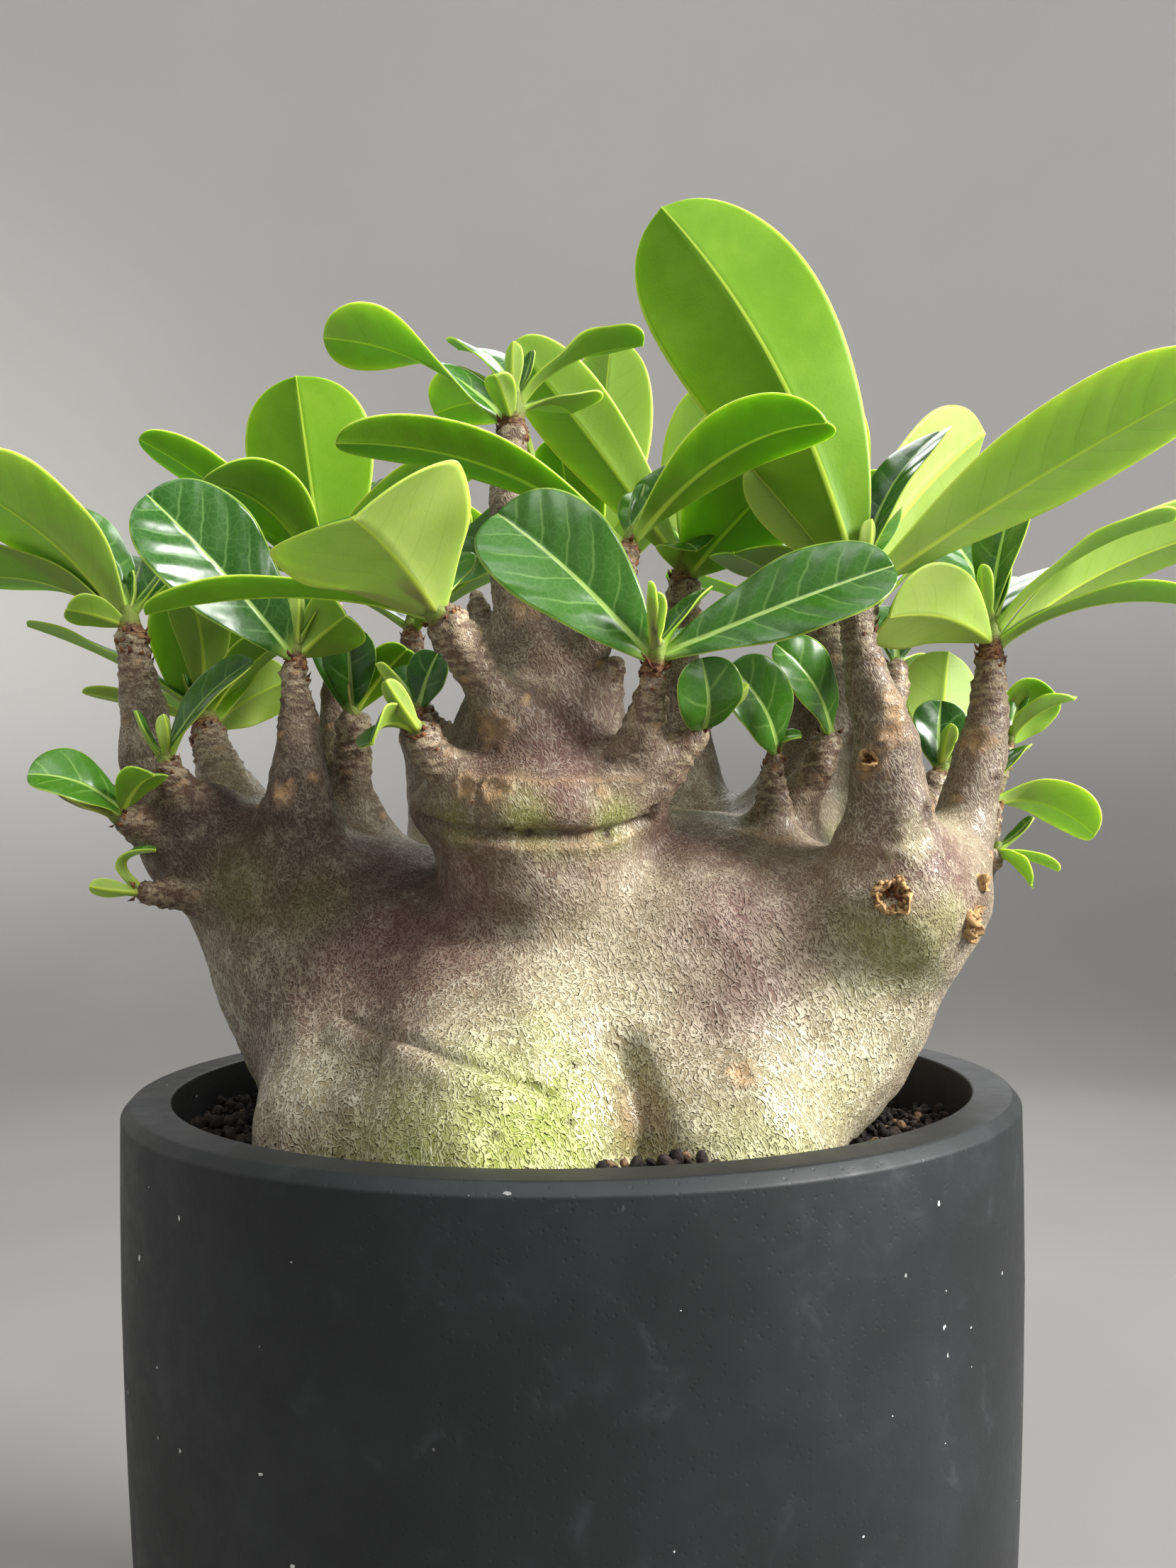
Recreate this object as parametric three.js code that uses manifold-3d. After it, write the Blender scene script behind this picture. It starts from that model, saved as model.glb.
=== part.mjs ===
// A desert rose with a swollen, branching trunk in a round charcoal pot.
// Millimetres, +Z up. The origin is the middle of the pot's flat bottom, and -Y is the front.
import * as THREE from "three";
import { mergeVertices } from "three/addons/utils/BufferGeometryUtils.js";
import Module from "manifold-3d";

const wasm = await Module();
wasm.setup();

// Gap between neighbouring pieces
const GAP = 0.35;

// Pot: a thick-walled barrel with a flat chamfered rim
const POT_HEIGHT = 145;
const POT_RADIUS = 80;
const POT_FOOT_RADIUS = 64;
const RIM_OUTER = 78.5;
const RIM_INNER = 71.9;
const CHAMFER_HEIGHT = 143.3;
const FLOOR_THICKNESS = 12;
const FLOOR_RADIUS = 56;
const WALL_OUTSIDE = [[61, 0], [POT_FOOT_RADIUS, 1], [67.5, 7], [71, 20], [75.2, 48], [78, 84], [79.5, 115]];
const WALL_INSIDE = [[71.2, 100], [68.5, 60], [63, 22]];
const POT_SIDES = 48;
const DRAIN_HOLES = 5;
const DRAIN_RADIUS = 5;
const DRAIN_CIRCLE = 34;
const DRAIN_SIDES = 10;

// Growing mix: its level below the rim, the mound in front and the dip behind on the right
const SOIL_LEVEL = -7;
const SOIL_SIDES = 36;
const SOIL_RINGS = [0, 40, 49, 55.5, 61, 65.5, 69];
const SOIL_WALL = [[55.4, FLOOR_THICKNESS + GAP], [62.4, 22.3], [68, 60], [70.6, 100], [71, 132]];
const GRIT_RELIEF = 1.5;
const MOUND = { x: 16, y: -60, height: 4.5, spread: 13 };
const DIP = { x: 56, y: 30, height: -6, spread: 20 };
const TRUNK_DEPTH = -17;
const POCKET_GAP = 0.6;
const POCKET_TOP = 12;

// Heights in the tables below are measured from the rim.
// Trunk lobes: middle, half axes and how far each melts into the ones before it
const LOBES = [
  { name: "core", at: [-5, -4, 2], size: [45, 46, 40], blend: 0 },
  { name: "front belly", at: [-12, -36, -8], size: [25, 28, 27], blend: 13 },
  { name: "left foot", at: [-38, -27, -9], size: [15, 19, 24], blend: 7 },
  { name: "right belly", at: [22, -30, -8], size: [22, 28, 28], blend: 9 },
  { name: "right flank", at: [34, -8, 17], size: [23, 30, 26], blend: 14 },
  { name: "middle shoulder", at: [20, -14, 27], size: [28, 26, 21], blend: 14 },
  { name: "left shoulder", at: [-39, -2, 20], size: [24, 26, 24], blend: 14 },
  { name: "back belly", at: [6, 32, -4], size: [34, 28, 34], blend: 14 },
  { name: "back left", at: [-31, 26, 4], size: [25, 25, 32], blend: 14 },
  { name: "back right", at: [32, 22, 14], size: [22, 24, 28], blend: 14 },
  { name: "tower foot", at: [-5, -27, 49], size: [22, 20, 9], blend: 3 },
];

// Limbs: a path of x, y, height and radius. The first few points swell out of the trunk.
const LIMBS = [
  { name: "left arm", blend: 12, swell: 3, path: [[-42, -2, 22, 20], [-57, -3, 36, 15], [-67, -4, 43, 11.5]] },
  { name: "right arm", blend: 12, swell: 3, path: [[42, -20, 14, 18], [54, -27, 28, 13], [58, -29, 36, 10.5]] },
  { name: "tower", blend: 5, swell: 7, path: [
    [-4, -26, 40, 18], [-4.4, -26, 50, 18.5], [-4.3, -26, 56, 16.5], [-4, -26, 61, 14.6],
    [-4.2, -26, 68, 12], [-4.8, -25.5, 74, 9.5], [-6, -25, 80, 7.2], [-6.6, -25, 85, 6.1],
    [-8.8, -25, 92, 4.6], [-9.8, -26, 103, 3.6], [-9, -27, 113, 2.8]] },
  { name: "left outer", blend: 6, swell: 2, path: [
    [-72, -5, 46, 8], [-76.9, -5, 52, 6], [-79.6, -5, 59, 4.4],
    [-80, -5, 68, 4.2], [-80.7, -6, 76, 3.6], [-81.8, -6, 82, 2.9]] },
  { name: "left inner", blend: 7, swell: 2, path: [
    [-49, -13, 40, 10], [-48.9, -14, 47, 7.8], [-48.9, -15, 55, 5.4],
    [-48.4, -15, 62, 4], [-48.6, -15, 68, 3], [-49, -15, 75, 2.2]] },
  { name: "left back", blend: 7, swell: 2, path: [
    [-66, 12, 48, 9], [-71, 14, 57, 5.5], [-74, 16, 66, 3.6]] },
  { name: "left rear", blend: 7, swell: 2, path: [
    [-47, 6, 42, 9], [-47, 8, 53, 5.6], [-47, 10, 65, 3.6], [-47, 13, 80, 3], [-50, 17, 94, 2.4]] },
  { name: "left low rear", blend: 4, swell: 1, path: [
    [-40, 3, 44, 7], [-41.5, 1, 56, 4], [-41.5, -1, 66, 2.6]] },
  { name: "front left twig", blend: 4, swell: 2, path: [
    [-5, -34, 60, 8], [-9.4, -40, 64.5, 5.6], [-13, -44, 69.6, 4],
    [-15.9, -48, 74, 3.2], [-17.6, -50, 76, 2.8]] },
  { name: "low left spur", blend: 4, swell: 1, path: [
    [-12, -34, 50, 6], [-16, -38, 52, 4], [-20.5, -42, 57, 2.7], [-22, -44, 59.5, 2.1]] },
  { name: "tower left twig", blend: 4, swell: 1, path: [
    [-16, -24, 56, 5], [-21.5, -22, 60, 3], [-25, -22, 65.5, 1.9]] },
  { name: "front right twig", blend: 4, swell: 2, path: [
    [6, -34, 50, 7], [9.2, -38, 54, 4.6], [12, -42, 60, 3.2], [13.1, -44, 65, 2.6], [13.8, -46, 69, 2.2]] },
  { name: "low right spur", blend: 4, swell: 1, path: [
    [10, -32, 49, 5], [13.8, -36, 52, 3.6], [17.2, -38, 56.4, 2.6], [20.5, -38, 60, 2]] },
  { name: "tower side twig", blend: 3, swell: 1, path: [
    [-1, -29, 67, 6], [1.3, -32, 71, 3.5], [4.9, -35, 76, 2.7], [8, -36, 83, 2.3], [10, -35, 90, 2]] },
  { name: "dry bud", blend: 2.5, swell: 1, path: [[4, -26, 64, 4], [6.5, -28, 68, 2.6], [8.5, -30, 73, 1.6]] },
  { name: "withered bud", blend: 3, swell: 1, path: [
    [-11, -24, 70, 5], [-13.8, -21, 76, 3.4], [-15.2, -19, 83, 2.3], [-16.5, -17, 88, 1.3]] },
  { name: "front spur", blend: 4, swell: 1, path: [
    [35, -20, 40, 7], [35.1, -22, 46.5, 4], [35.2, -24, 52.5, 2.3], [35.5, -24, 56.5, 1.8]] },
  { name: "right spur", blend: 4, swell: 1, path: [
    [39, -10, 46, 6], [41.8, -14, 51.7, 3.8], [44.7, -16, 56.7, 2.5], [46, -16, 60.5, 2]] },
  { name: "right rear", blend: 9, swell: 4, path: [
    [42, 6, 40, 15], [47, 8, 51.5, 11.5], [50.4, 10, 63, 7.6], [51.4, 10, 76, 5.4], [51.7, 10, 89, 4]] },
  { name: "middle rear", blend: 8, swell: 2, path: [
    [22, 15, 42, 13], [21, 17, 57, 9.6], [21.5, 18, 70, 6.6], [22, 15, 84, 4.2], [23, 11, 95, 2.8]] },
  { name: "right front", blend: 7, swell: 4, path: [
    [52.5, -35, 34, 11], [52.1, -36, 41, 8.4], [51.8, -38, 47, 6.8], [51.4, -39, 53, 5.9],
    [51, -40, 58, 5.1], [48.2, -41, 68, 3.7], [46.9, -42, 75, 2.8], [47.1, -42, 79.5, 2.5]] },
  { name: "right outer", blend: 6, swell: 3, path: [
    [62, -26, 34, 9], [65.9, -24, 40, 6.6], [69.2, -22, 47.3, 5.1],
    [72, -22, 58.4, 4.1], [73.1, -23, 65.7, 3.1], [73.3, -24, 74, 2.3]] },
  { name: "right front twig", blend: 3, swell: 1, path: [
    [51, -36, 58, 4], [54, -31.5, 65, 2.5], [55.5, -29, 71, 1.8]] },
  { name: "back fork", blend: 9, swell: 2, path: [
    [8, 36, 36, 13], [8, 40, 52, 8], [6, 43, 66, 5], [4, 44, 80, 3.4], [3, 45, 93, 2.6]] },
  { name: "back left fork", blend: 9, swell: 2, path: [
    [-24, 34, 38, 12], [-30, 39, 52, 7], [-34, 42, 66, 4.6], [-36, 42, 80, 3.2], [-36, 41, 90, 2.5]] },
  { name: "back right fork", blend: 8, swell: 2, path: [
    [40, 26, 36, 11], [50, 33, 50, 6.4], [56, 37, 63, 4.2], [58, 38, 77, 3]] },
  { name: "crotch spur", blend: 4, swell: 1, path: [[60, -10, 38, 7], [65, -8, 47, 3.6], [68, -8, 54, 2.2]] },
  { name: "upper side spur", blend: 5, swell: 1, path: [
    [66, 4, 34, 8], [78, 5, 46, 4], [82, 4, 54, 2.6], [84, 3, 60, 2]] },
  { name: "lower side spur", blend: 5, swell: 1, path: [
    [64, -2, 26, 8], [74, -4, 35, 4], [77.5, -5, 43, 2.5], [78.5, -5, 49, 2]] },
  { name: "low side twig", blend: 4, swell: 1, path: [
    [64, -5, 28, 7], [72.5, -8, 34, 3.2], [76.5, -9, 39.5, 1.8]] },
  { name: "left low spur", blend: 4, swell: 1, path: [
    [-68, -8, 42, 7], [-74.4, -12, 45.4, 3.4], [-78.8, -14, 48, 2.4]] },
  { name: "left middle spur", blend: 4, swell: 1, path: [
    [-64, -7, 44, 7], [-71, -11, 53, 3.4], [-72.5, -13, 58, 2.2]] },
  { name: "left bent spur", blend: 3, swell: 1, path: [
    [-64, -10, 34, 6], [-70.4, -14, 34.6, 2.6], [-75, -16, 35.4, 1.6]] },
];

// Leaves that show in front: limb, tip, width, direction that the upper face looks
// (degrees round from +X, degrees above level), upward arch, sideways sweep and, where it has one,
// the twist from stalk to tip in degrees
const LEAVES = [
  ["right front", [17, -34, 150], 28, 88, 8, -3, -4],
  ["right front", [31, -39, 106], 14, 100, 20, 1, -2],
  ["right front", [97, -62, 110], 20, 95, 52, 4, -2],
  ["right front", [78, -10, 119], 20, 80, 40, 3, 0],
  ["right front twig", [58, -20, 84], 9, -90, 30, 1, 0],
  ["right outer", [127, -8, 102], 17, 100, 50, 5, 0],
  ["right outer", [107, -30, 82], 17, -80, 84, 4, 0],
  ["right outer", [51, -44, 78], 17, 70, 25, 1, -2],
  ["upper side spur", [94, 2, 72], 12, 90, 30, 2, 0],
  ["lower side spur", [97, -8, 44], 12, 70, 50, 4, 0],
  ["low side twig", [89, -11, 37.5], 4.5, 90, 70, 1, 0],
  ["low side twig", [82, -16, 35], 6, 90, 50, 1, 0],
  ["crotch spur", [70, -5, 69.5], 11, -80, 20, -1, 0],
  ["crotch spur", [74, 3, 80], 15, 90, 20, 1, 0],
  ["front right twig", [-10.5, -44, 95], 20, -95, 25, 3, 0],
  ["front right twig", [50, -52, 84], 15, -80, 30, 1, 0],
  ["front left twig", [-26.4, -80, 84.5], 29, 115, 50, 3, 0],
  ["front left twig", [-61, -58, 77], 14, -90, 88, 3, 0],
  ["tower", [-41, -30, 130], 14, 90, 100, 4, 0, -140],
  ["tower", [-11, -38, 120], 5, 90, 30, 1, 0],
  ["tower left twig", [-22, -26, 76], 8, -100, 20, 1, 0],
  ["tower left twig", [-31, -19, 74], 6, -90, 30, 1, 0],
  ["tower side twig", [-36, -44, 107], 12, 100, 66, 7, 0],
  ["tower side twig", [39, -59, 104], 14, 100, 50, 7, 0],
  ["middle rear", [42, -18, 112], 28, 90, 35, 2, 0],
  ["middle rear", [25, 0, 100], 12, -90, 40, 4, 0],
  ["middle rear", [32, 10, 137], 18, 80, 50, 4, 0],
  ["middle rear", [-10, -2, 141], 16, 100, 45, 3, 0],
  ["left rear", [-56, 14, 141], 27, 90, 10, 0, 0],
  ["left rear", [-87, 10, 127], 12, 90, 60, 4, 0],
  ["left rear", [-69, -8, 112], 19, 90, 60, 8, 0],
  ["tower", [-25, -5, 126], 14, 90, 50, 4, 0],
  ["tower", [-27, -6, 93], 13, -110, 20, -13, 0],
  ["back fork", [10, 42, 160], 22, 70, 10, 0, 0],
  ["left outer", [-113, -16, 112], 22, 75, 45, 5, 0],
  ["left outer", [-124, 8, 98], 18, 60, 70, 5, 0],
  ["left outer", [-91, -14, 87], 7, 90, 30, 1, 0],
  ["left back", [-78, 22, 103], 27, 90, 15, 2, 0],
  ["left back", [-60, 27, 80], 14, 100, 30, 3, 0],
  ["left back", [-97, 8, 75], 5, 90, 60, 1, 0],
  ["left low rear", [-48, 6, 89], 9, -90, 20, 1, 0],
  ["left low rear", [-30, -8, 80], 8, 60, 60, 2, 0],
  ["left low rear", [-41, -9, 84], 10, -80, 30, 1, 0],
  ["left middle spur", [-57, -14, 77], 12, -90, 60, 2, 0],
  ["left inner", [-71, -30, 103], 21, -85, 30, 2, 0],
  ["left inner", [-39, -20, 84], 12, 60, 40, 3, 0],
  ["left low spur", [-93, -24, 56], 13, -90, 48, 3, 0],
  ["left low spur", [-72, -22, 56], 8, 100, 70, 2, 0],
  ["left bent spur", [-73, -18, 43], 5, 180, 0, 4.5, 0],
  ["low left spur", [-29, -52, 58], 9, 100, 60, 3, 0],
  ["low right spur", [21, -48, 71], 11, -90, 40, 3, 0],
  ["front spur", [27, -34, 72], 13, -90, 30, 3, 0],
  ["front spur", [40, -26, 61], 4, -90, 60, 1, 0],
  ["right spur", [36, -25, 77], 12, -80, 30, 3, 0],
];

// Leaves placed by rule: limb, how many, length, width, middle direction and spread round it
const RULE = [
  ["right front", 2, 40, 18, 80, 100],
  ["right outer", 4, 40, 18, 60, 160],
  ["left outer", 3, 40, 17, 110, 150],
  ["left inner", 3, 32, 14, 100, 170],
  ["front left twig", 2, 24, 11, 120, 90],
  ["front right twig", 2, 22, 10, 70, 90],
  ["tower", 3, 38, 17, 90, 250],
  ["tower side twig", 2, 28, 13, 60, 90],
  ["middle rear", 3, 40, 17, 60, 260],
  ["right rear", 7, 44, 19, 90, 360],
  ["left back", 5, 38, 17, 120, 300],
  ["left low rear", 1, 20, 10, 120, 120],
  ["left rear", 4, 40, 17, 100, 360],
  ["back fork", 6, 46, 20, 90, 360],
  ["back left fork", 6, 46, 19, 90, 360],
  ["back right fork", 6, 44, 19, 60, 360],
  ["upper side spur", 3, 22, 11, 60, 160],
  ["lower side spur", 2, 18, 9, 60, 120],
  ["crotch spur", 1, 20, 10, 80, 120],
  ["left low spur", 1, 16, 8, 120, 60],
];

// Leaf blade
const BLADE_THICKNESS = 0.8;
const BLADE_UNDERSIDE = 2;
const STALK_HALF_WIDTH = 1;
const TIP_HALF_WIDTH = 0.35;
const FIRST_LEAF_RISE = 1.4;
const LEAF_STEP = 0.85;
const HERO_FOLD = 0.24;
const LONG_LEAF = 24;
const LONG_STATIONS = [0, 0.3, 0.62, 0.88, 1];
const SHORT_STATIONS = [0, 0.35, 0.75, 1];

// Room between leaves of different shoots, between leaves of one shoot, and to bark
const LEAF_ROOM = 3;
const SISTER_ROOM = 1.6;
const BARK_ROOM = 1;
const LOBE_REACH = 1.08;
const TRIES_PER_LEAF = 40;
const CANOPY_HALF_WIDTH = 118;
const CANOPY_HALF_DEPTH = 95;
const CANOPY_MIDDLE_HEIGHT = 138;
const CANOPY_SIDE_HEIGHT = 116;
const CANOPY_MIDDLE_HALF_WIDTH = 48;
const SEED = 7;

// Meshing of the trunk
const CELL = 6.8;
const TRUNK_BOX_LOW = [-104, -90, -50];
const TRUNK_BOX_HIGH = [104, 90, 116];
const BLOCK_SIZE = 400;
const TWIG_START_SHARE = 0.88;
const TWIG_SIDES = 6;
const BUD_SIDES = 6;

const degrees = (value) => (value * Math.PI) / 180;
const vector = (list) => new THREE.Vector3(list[0], list[1], list[2]);

// A closed geometry as a solid, and a solid as a geometry
function solidOf(geometry) {
  const bare = geometry.clone();
  bare.deleteAttribute("normal");
  bare.deleteAttribute("uv");
  const merged = mergeVertices(bare, 1e-4);
  const vertProperties = new Float32Array(merged.attributes.position.array);
  const triVerts = new Uint32Array(merged.index.array);
  return new wasm.Manifold(new wasm.Mesh({ numProp: 3, vertProperties, triVerts }));
}

function geometryOf(solid) {
  const mesh = solid.getMesh();
  const geometry = new THREE.BufferGeometry();
  geometry.setAttribute("position", new THREE.BufferAttribute(new Float32Array(mesh.vertProperties), 3));
  geometry.setIndex(new THREE.BufferAttribute(new Uint32Array(mesh.triVerts), 1));
  geometry.computeVertexNormals();
  return geometry;
}

function meshSolid(points, faces) {
  const geometry = new THREE.BufferGeometry();
  geometry.setAttribute("position", new THREE.Float32BufferAttribute(points.flat(), 3));
  geometry.setIndex(faces.flat());
  return solidOf(geometry);
}

// A profile of [radius, height] turned about the upright axis
function turned(profile, sides) {
  const lathe = new THREE.LatheGeometry(profile.map((p) => new THREE.Vector2(p[0], p[1])), sides);
  return lathe.rotateX(Math.PI / 2);
}

// Rings of equal point count joined into a closed tube with flat end caps.
// The sides named in crossed are split along their other diagonal.
function ringTube(rings, crossed = []) {
  const sides = rings[0].length;
  const points = rings.flat();
  const faces = [];
  for (let ring = 0; ring < rings.length - 1; ring += 1) {
    for (let side = 0; side < sides; side += 1) {
      const next = (side + 1) % sides;
      const low = ring * sides;
      const high = low + sides;
      if (crossed.includes(side)) {
        faces.push([low + side, low + next, high + side]);
        faces.push([low + next, high + next, high + side]);
      } else {
        faces.push([low + side, low + next, high + next]);
        faces.push([low + side, high + next, high + side]);
      }
    }
  }
  const last = (rings.length - 1) * sides;
  for (let side = 1; side < sides - 1; side += 1) {
    faces.push([0, side + 1, side]);
    faces.push([last, last + side, last + side + 1]);
  }
  return meshSolid(points, faces);
}

// Smallest of two distances, rounded where they meet
function melt(a, b, blend) {
  if (blend <= 0) {
    return Math.min(a, b);
  }
  const overlap = Math.max(blend - Math.abs(a - b), 0) / blend;
  return Math.min(a, b) - overlap * overlap * blend * 0.25;
}

function lobeDistance(point, lobe) {
  let near = 0;
  let slope = 0;
  for (let axis = 0; axis < 3; axis += 1) {
    const offset = point[axis] - lobe.at[axis];
    near += (offset / lobe.size[axis]) ** 2;
    slope += (offset / lobe.size[axis] ** 2) ** 2;
  }
  near = Math.sqrt(near);
  return (near * (near - 1)) / Math.max(Math.sqrt(slope), 1e-6);
}

function coneDistance(point, from, to) {
  let along = 0;
  let length = 0;
  for (let axis = 0; axis < 3; axis += 1) {
    along += (point[axis] - from[axis]) * (to[axis] - from[axis]);
    length += (to[axis] - from[axis]) ** 2;
  }
  const share = Math.min(Math.max(along / length, 0), 1);
  let gap = 0;
  for (let axis = 0; axis < 3; axis += 1) {
    gap += (point[axis] - from[axis] - share * (to[axis] - from[axis])) ** 2;
  }
  return Math.sqrt(gap) - (from[3] + share * (to[3] - from[3]));
}

function pathDistance(point, path) {
  let best = Infinity;
  for (let k = 0; k < path.length - 1; k += 1) {
    best = Math.min(best, coneDistance(point, path[k], path[k + 1]));
  }
  return best;
}

// Distance to the swollen part of the plant: all lobes and the roots of all limbs
function trunkDistance(point) {
  let value = Infinity;
  for (const lobe of LOBES) {
    value = melt(value, lobeDistance(point, lobe), lobe.blend);
  }
  for (const limb of LIMBS) {
    const root = limb.swell > 1 ? limb.path.slice(0, limb.swell) : [limb.path[0], limb.path[1]];
    value = melt(value, pathDistance(point, root), limb.blend);
  }
  return value;
}

// Surface of a distance field on an even grid: one vertex in each crossed cell, a quad at each crossed edge
function fieldSurface(distance, low, high, cell) {
  const count = [0, 1, 2].map((axis) => Math.ceil((high[axis] - low[axis]) / cell) + 1);
  const place = (i, j, k) => [low[0] + i * cell, low[1] + j * cell, low[2] + k * cell];
  const slot = (i, j, k) => (i * count[1] + j) * count[2] + k;
  const values = new Float64Array(count[0] * count[1] * count[2]);
  for (let i = 0; i < count[0]; i += 1) {
    for (let j = 0; j < count[1]; j += 1) {
      for (let k = 0; k < count[2]; k += 1) {
        values[slot(i, j, k)] = distance(place(i, j, k));
      }
    }
  }
  openPinches(values, slot, count);
  const points = [];
  const pointOf = new Map();
  for (let i = 0; i < count[0] - 1; i += 1) {
    for (let j = 0; j < count[1] - 1; j += 1) {
      for (let k = 0; k < count[2] - 1; k += 1) {
        const sum = crossedMiddle(values, slot, i, j, k);
        if (sum) {
          pointOf.set(slot(i, j, k), points.length);
          points.push([low[0] + sum[0] * cell, low[1] + sum[1] * cell, low[2] + sum[2] * cell]);
        }
      }
    }
  }
  const faces = [];
  const axes = [[1, 0, 0], [0, 1, 0], [0, 0, 1]];
  for (let i = 1; i < count[0] - 1; i += 1) {
    for (let j = 1; j < count[1] - 1; j += 1) {
      for (let k = 1; k < count[2] - 1; k += 1) {
        for (let axis = 0; axis < 3; axis += 1) {
          const step = axes[axis];
          const inside = values[slot(i, j, k)] < 0;
          const beyond = values[slot(i + step[0], j + step[1], k + step[2])] < 0;
          if (inside === beyond) {
            continue;
          }
          const u = axes[(axis + 1) % 3];
          const v = axes[(axis + 2) % 3];
          const corner = (a, b) => pointOf.get(slot(i - a * u[0] - b * v[0], j - a * u[1] - b * v[1],
            k - a * u[2] - b * v[2]));
          const ring = [corner(1, 1), corner(0, 1), corner(0, 0), corner(1, 0)];
          if (!inside) {
            ring.reverse();
          }
          faces.push([ring[0], ring[1], ring[2]]);
          faces.push([ring[0], ring[2], ring[3]]);
        }
      }
    }
  }
  return { points, faces };
}

// Where only the two opposite corners of a grid square lie inside, two sheets would share an edge.
// The corner nearest the surface changes sides there.
function openPinches(values, slot, count) {
  const squares = [[[1, 0, 0], [0, 1, 0]], [[0, 1, 0], [0, 0, 1]], [[0, 0, 1], [1, 0, 0]]];
  for (let pass = 0; pass < 4; pass += 1) {
    for (let i = 0; i < count[0] - 1; i += 1) {
      for (let j = 0; j < count[1] - 1; j += 1) {
        for (let k = 0; k < count[2] - 1; k += 1) {
          for (const [u, v] of squares) {
            const corners = [slot(i, j, k), slot(i + u[0], j + u[1], k + u[2]),
              slot(i + u[0] + v[0], j + u[1] + v[1], k + u[2] + v[2]), slot(i + v[0], j + v[1], k + v[2])];
            const inside = corners.map((corner) => values[corner] < 0);
            if (inside[0] === inside[2] && inside[1] === inside[3] && inside[0] !== inside[1]) {
              const nearest = corners.reduce((a, b) => (Math.abs(values[a]) < Math.abs(values[b]) ? a : b));
              values[nearest] = values[nearest] < 0 ? 0.05 : -0.05;
            }
          }
        }
      }
    }
  }
}

// Mean of the crossing points on a cell's twelve edges, in grid steps, or null where nothing crosses
function crossedMiddle(values, slot, i, j, k) {
  const sum = [0, 0, 0];
  let crossings = 0;
  for (let axis = 0; axis < 3; axis += 1) {
    for (let a = 0; a < 2; a += 1) {
      for (let b = 0; b < 2; b += 1) {
        const from = [0, 0, 0];
        from[(axis + 1) % 3] = a;
        from[(axis + 2) % 3] = b;
        const to = [...from];
        to[axis] = 1;
        const first = values[slot(i + from[0], j + from[1], k + from[2])];
        const second = values[slot(i + to[0], j + to[1], k + to[2])];
        if ((first < 0) !== (second < 0)) {
          from[axis] = first / (first - second);
          sum[0] += from[0];
          sum[1] += from[1];
          sum[2] += from[2];
          crossings += 1;
        }
      }
    }
  }
  if (crossings === 0) {
    return null;
  }
  return [i + sum[0] / crossings, j + sum[1] / crossings, k + sum[2] / crossings];
}

// The trunk grown by a margin on all sides, up to a height
function trunkSolid(margin, ceiling) {
  const distance = (point) => Math.max(trunkDistance(point) - margin, point[2] - ceiling);
  const surface = fieldSurface(distance, TRUNK_BOX_LOW, TRUNK_BOX_HIGH, CELL);
  return meshSolid(surface.points, surface.faces);
}

// Everything below a height, as one block
function blockBelow(height) {
  const block = new THREE.BoxGeometry(BLOCK_SIZE, BLOCK_SIZE, BLOCK_SIZE);
  block.translate(0, 0, height - BLOCK_SIZE / 2);
  return solidOf(block);
}

// A tapering twig with flat ends, along the thin part of a limb
function twigSolid(limb) {
  const start = Math.max(limb.swell - 1, 0);
  const path = limb.path.slice(start);
  const rings = path.map((point, index) => {
    const before = vector(path[Math.max(index - 1, 0)]);
    const after = vector(path[Math.min(index + 1, path.length - 1)]);
    const along = after.sub(before).normalize();
    const side = new THREE.Vector3(0, 1, 0).cross(along).normalize();
    const front = along.clone().cross(side);
    const radius = index === 0 ? point[3] * TWIG_START_SHARE : point[3];
    const ring = [];
    for (let k = 0; k < TWIG_SIDES; k += 1) {
      const angle = (2 * Math.PI * k) / TWIG_SIDES;
      const spot = vector(point);
      spot.addScaledVector(side, radius * Math.cos(angle));
      spot.addScaledVector(front, radius * Math.sin(angle));
      ring.push(spot.toArray());
    }
    return ring;
  });
  return ringTube(rings);
}

function plantSolid() {
  const whole = [trunkSolid(0, BLOCK_SIZE)];
  for (const limb of LIMBS) {
    if (limb.path.length > limb.swell) {
      whole.push(twigSolid(limb));
    }
  }
  const plant = wasm.Manifold.union(whole);
  return plant.subtract(blockBelow(TRUNK_DEPTH));
}

// Leaf shape: half width along the blade, 1 at its widest
function bladeShape(share) {
  return (share * (1 - share) ** 0.44) / 0.4122;
}

function facing(round, above) {
  const level = Math.cos(degrees(above));
  const east = level * Math.cos(degrees(round));
  const north = level * Math.sin(degrees(round));
  return new THREE.Vector3(east, north, Math.sin(degrees(above)));
}

// End of a limb, the way it points and its radius there
function limbEnd(name) {
  const path = LIMBS.find((limb) => limb.name === name).path;
  const end = vector(path[path.length - 1]);
  const along = end.clone().sub(vector(path[path.length - 2])).normalize();
  return { end, along, radius: path[path.length - 1][3] };
}

// A leaf bends through three points, with its upper face turned towards a given direction
function leafBetween(shoot, root, tip, face, width, arch, sweep, fold, twist = 0) {
  const chord = tip.clone().sub(root).normalize();
  const up = face.clone().addScaledVector(chord, -face.dot(chord)).normalize();
  const side = chord.clone().cross(up);
  const middle = root.clone().add(tip).multiplyScalar(0.5);
  middle.addScaledVector(up, 2 * arch).addScaledVector(side, 2 * sweep);
  return { shoot, root, middle, tip, up, width, fold, twist, length: tip.distanceTo(root) };
}

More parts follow.
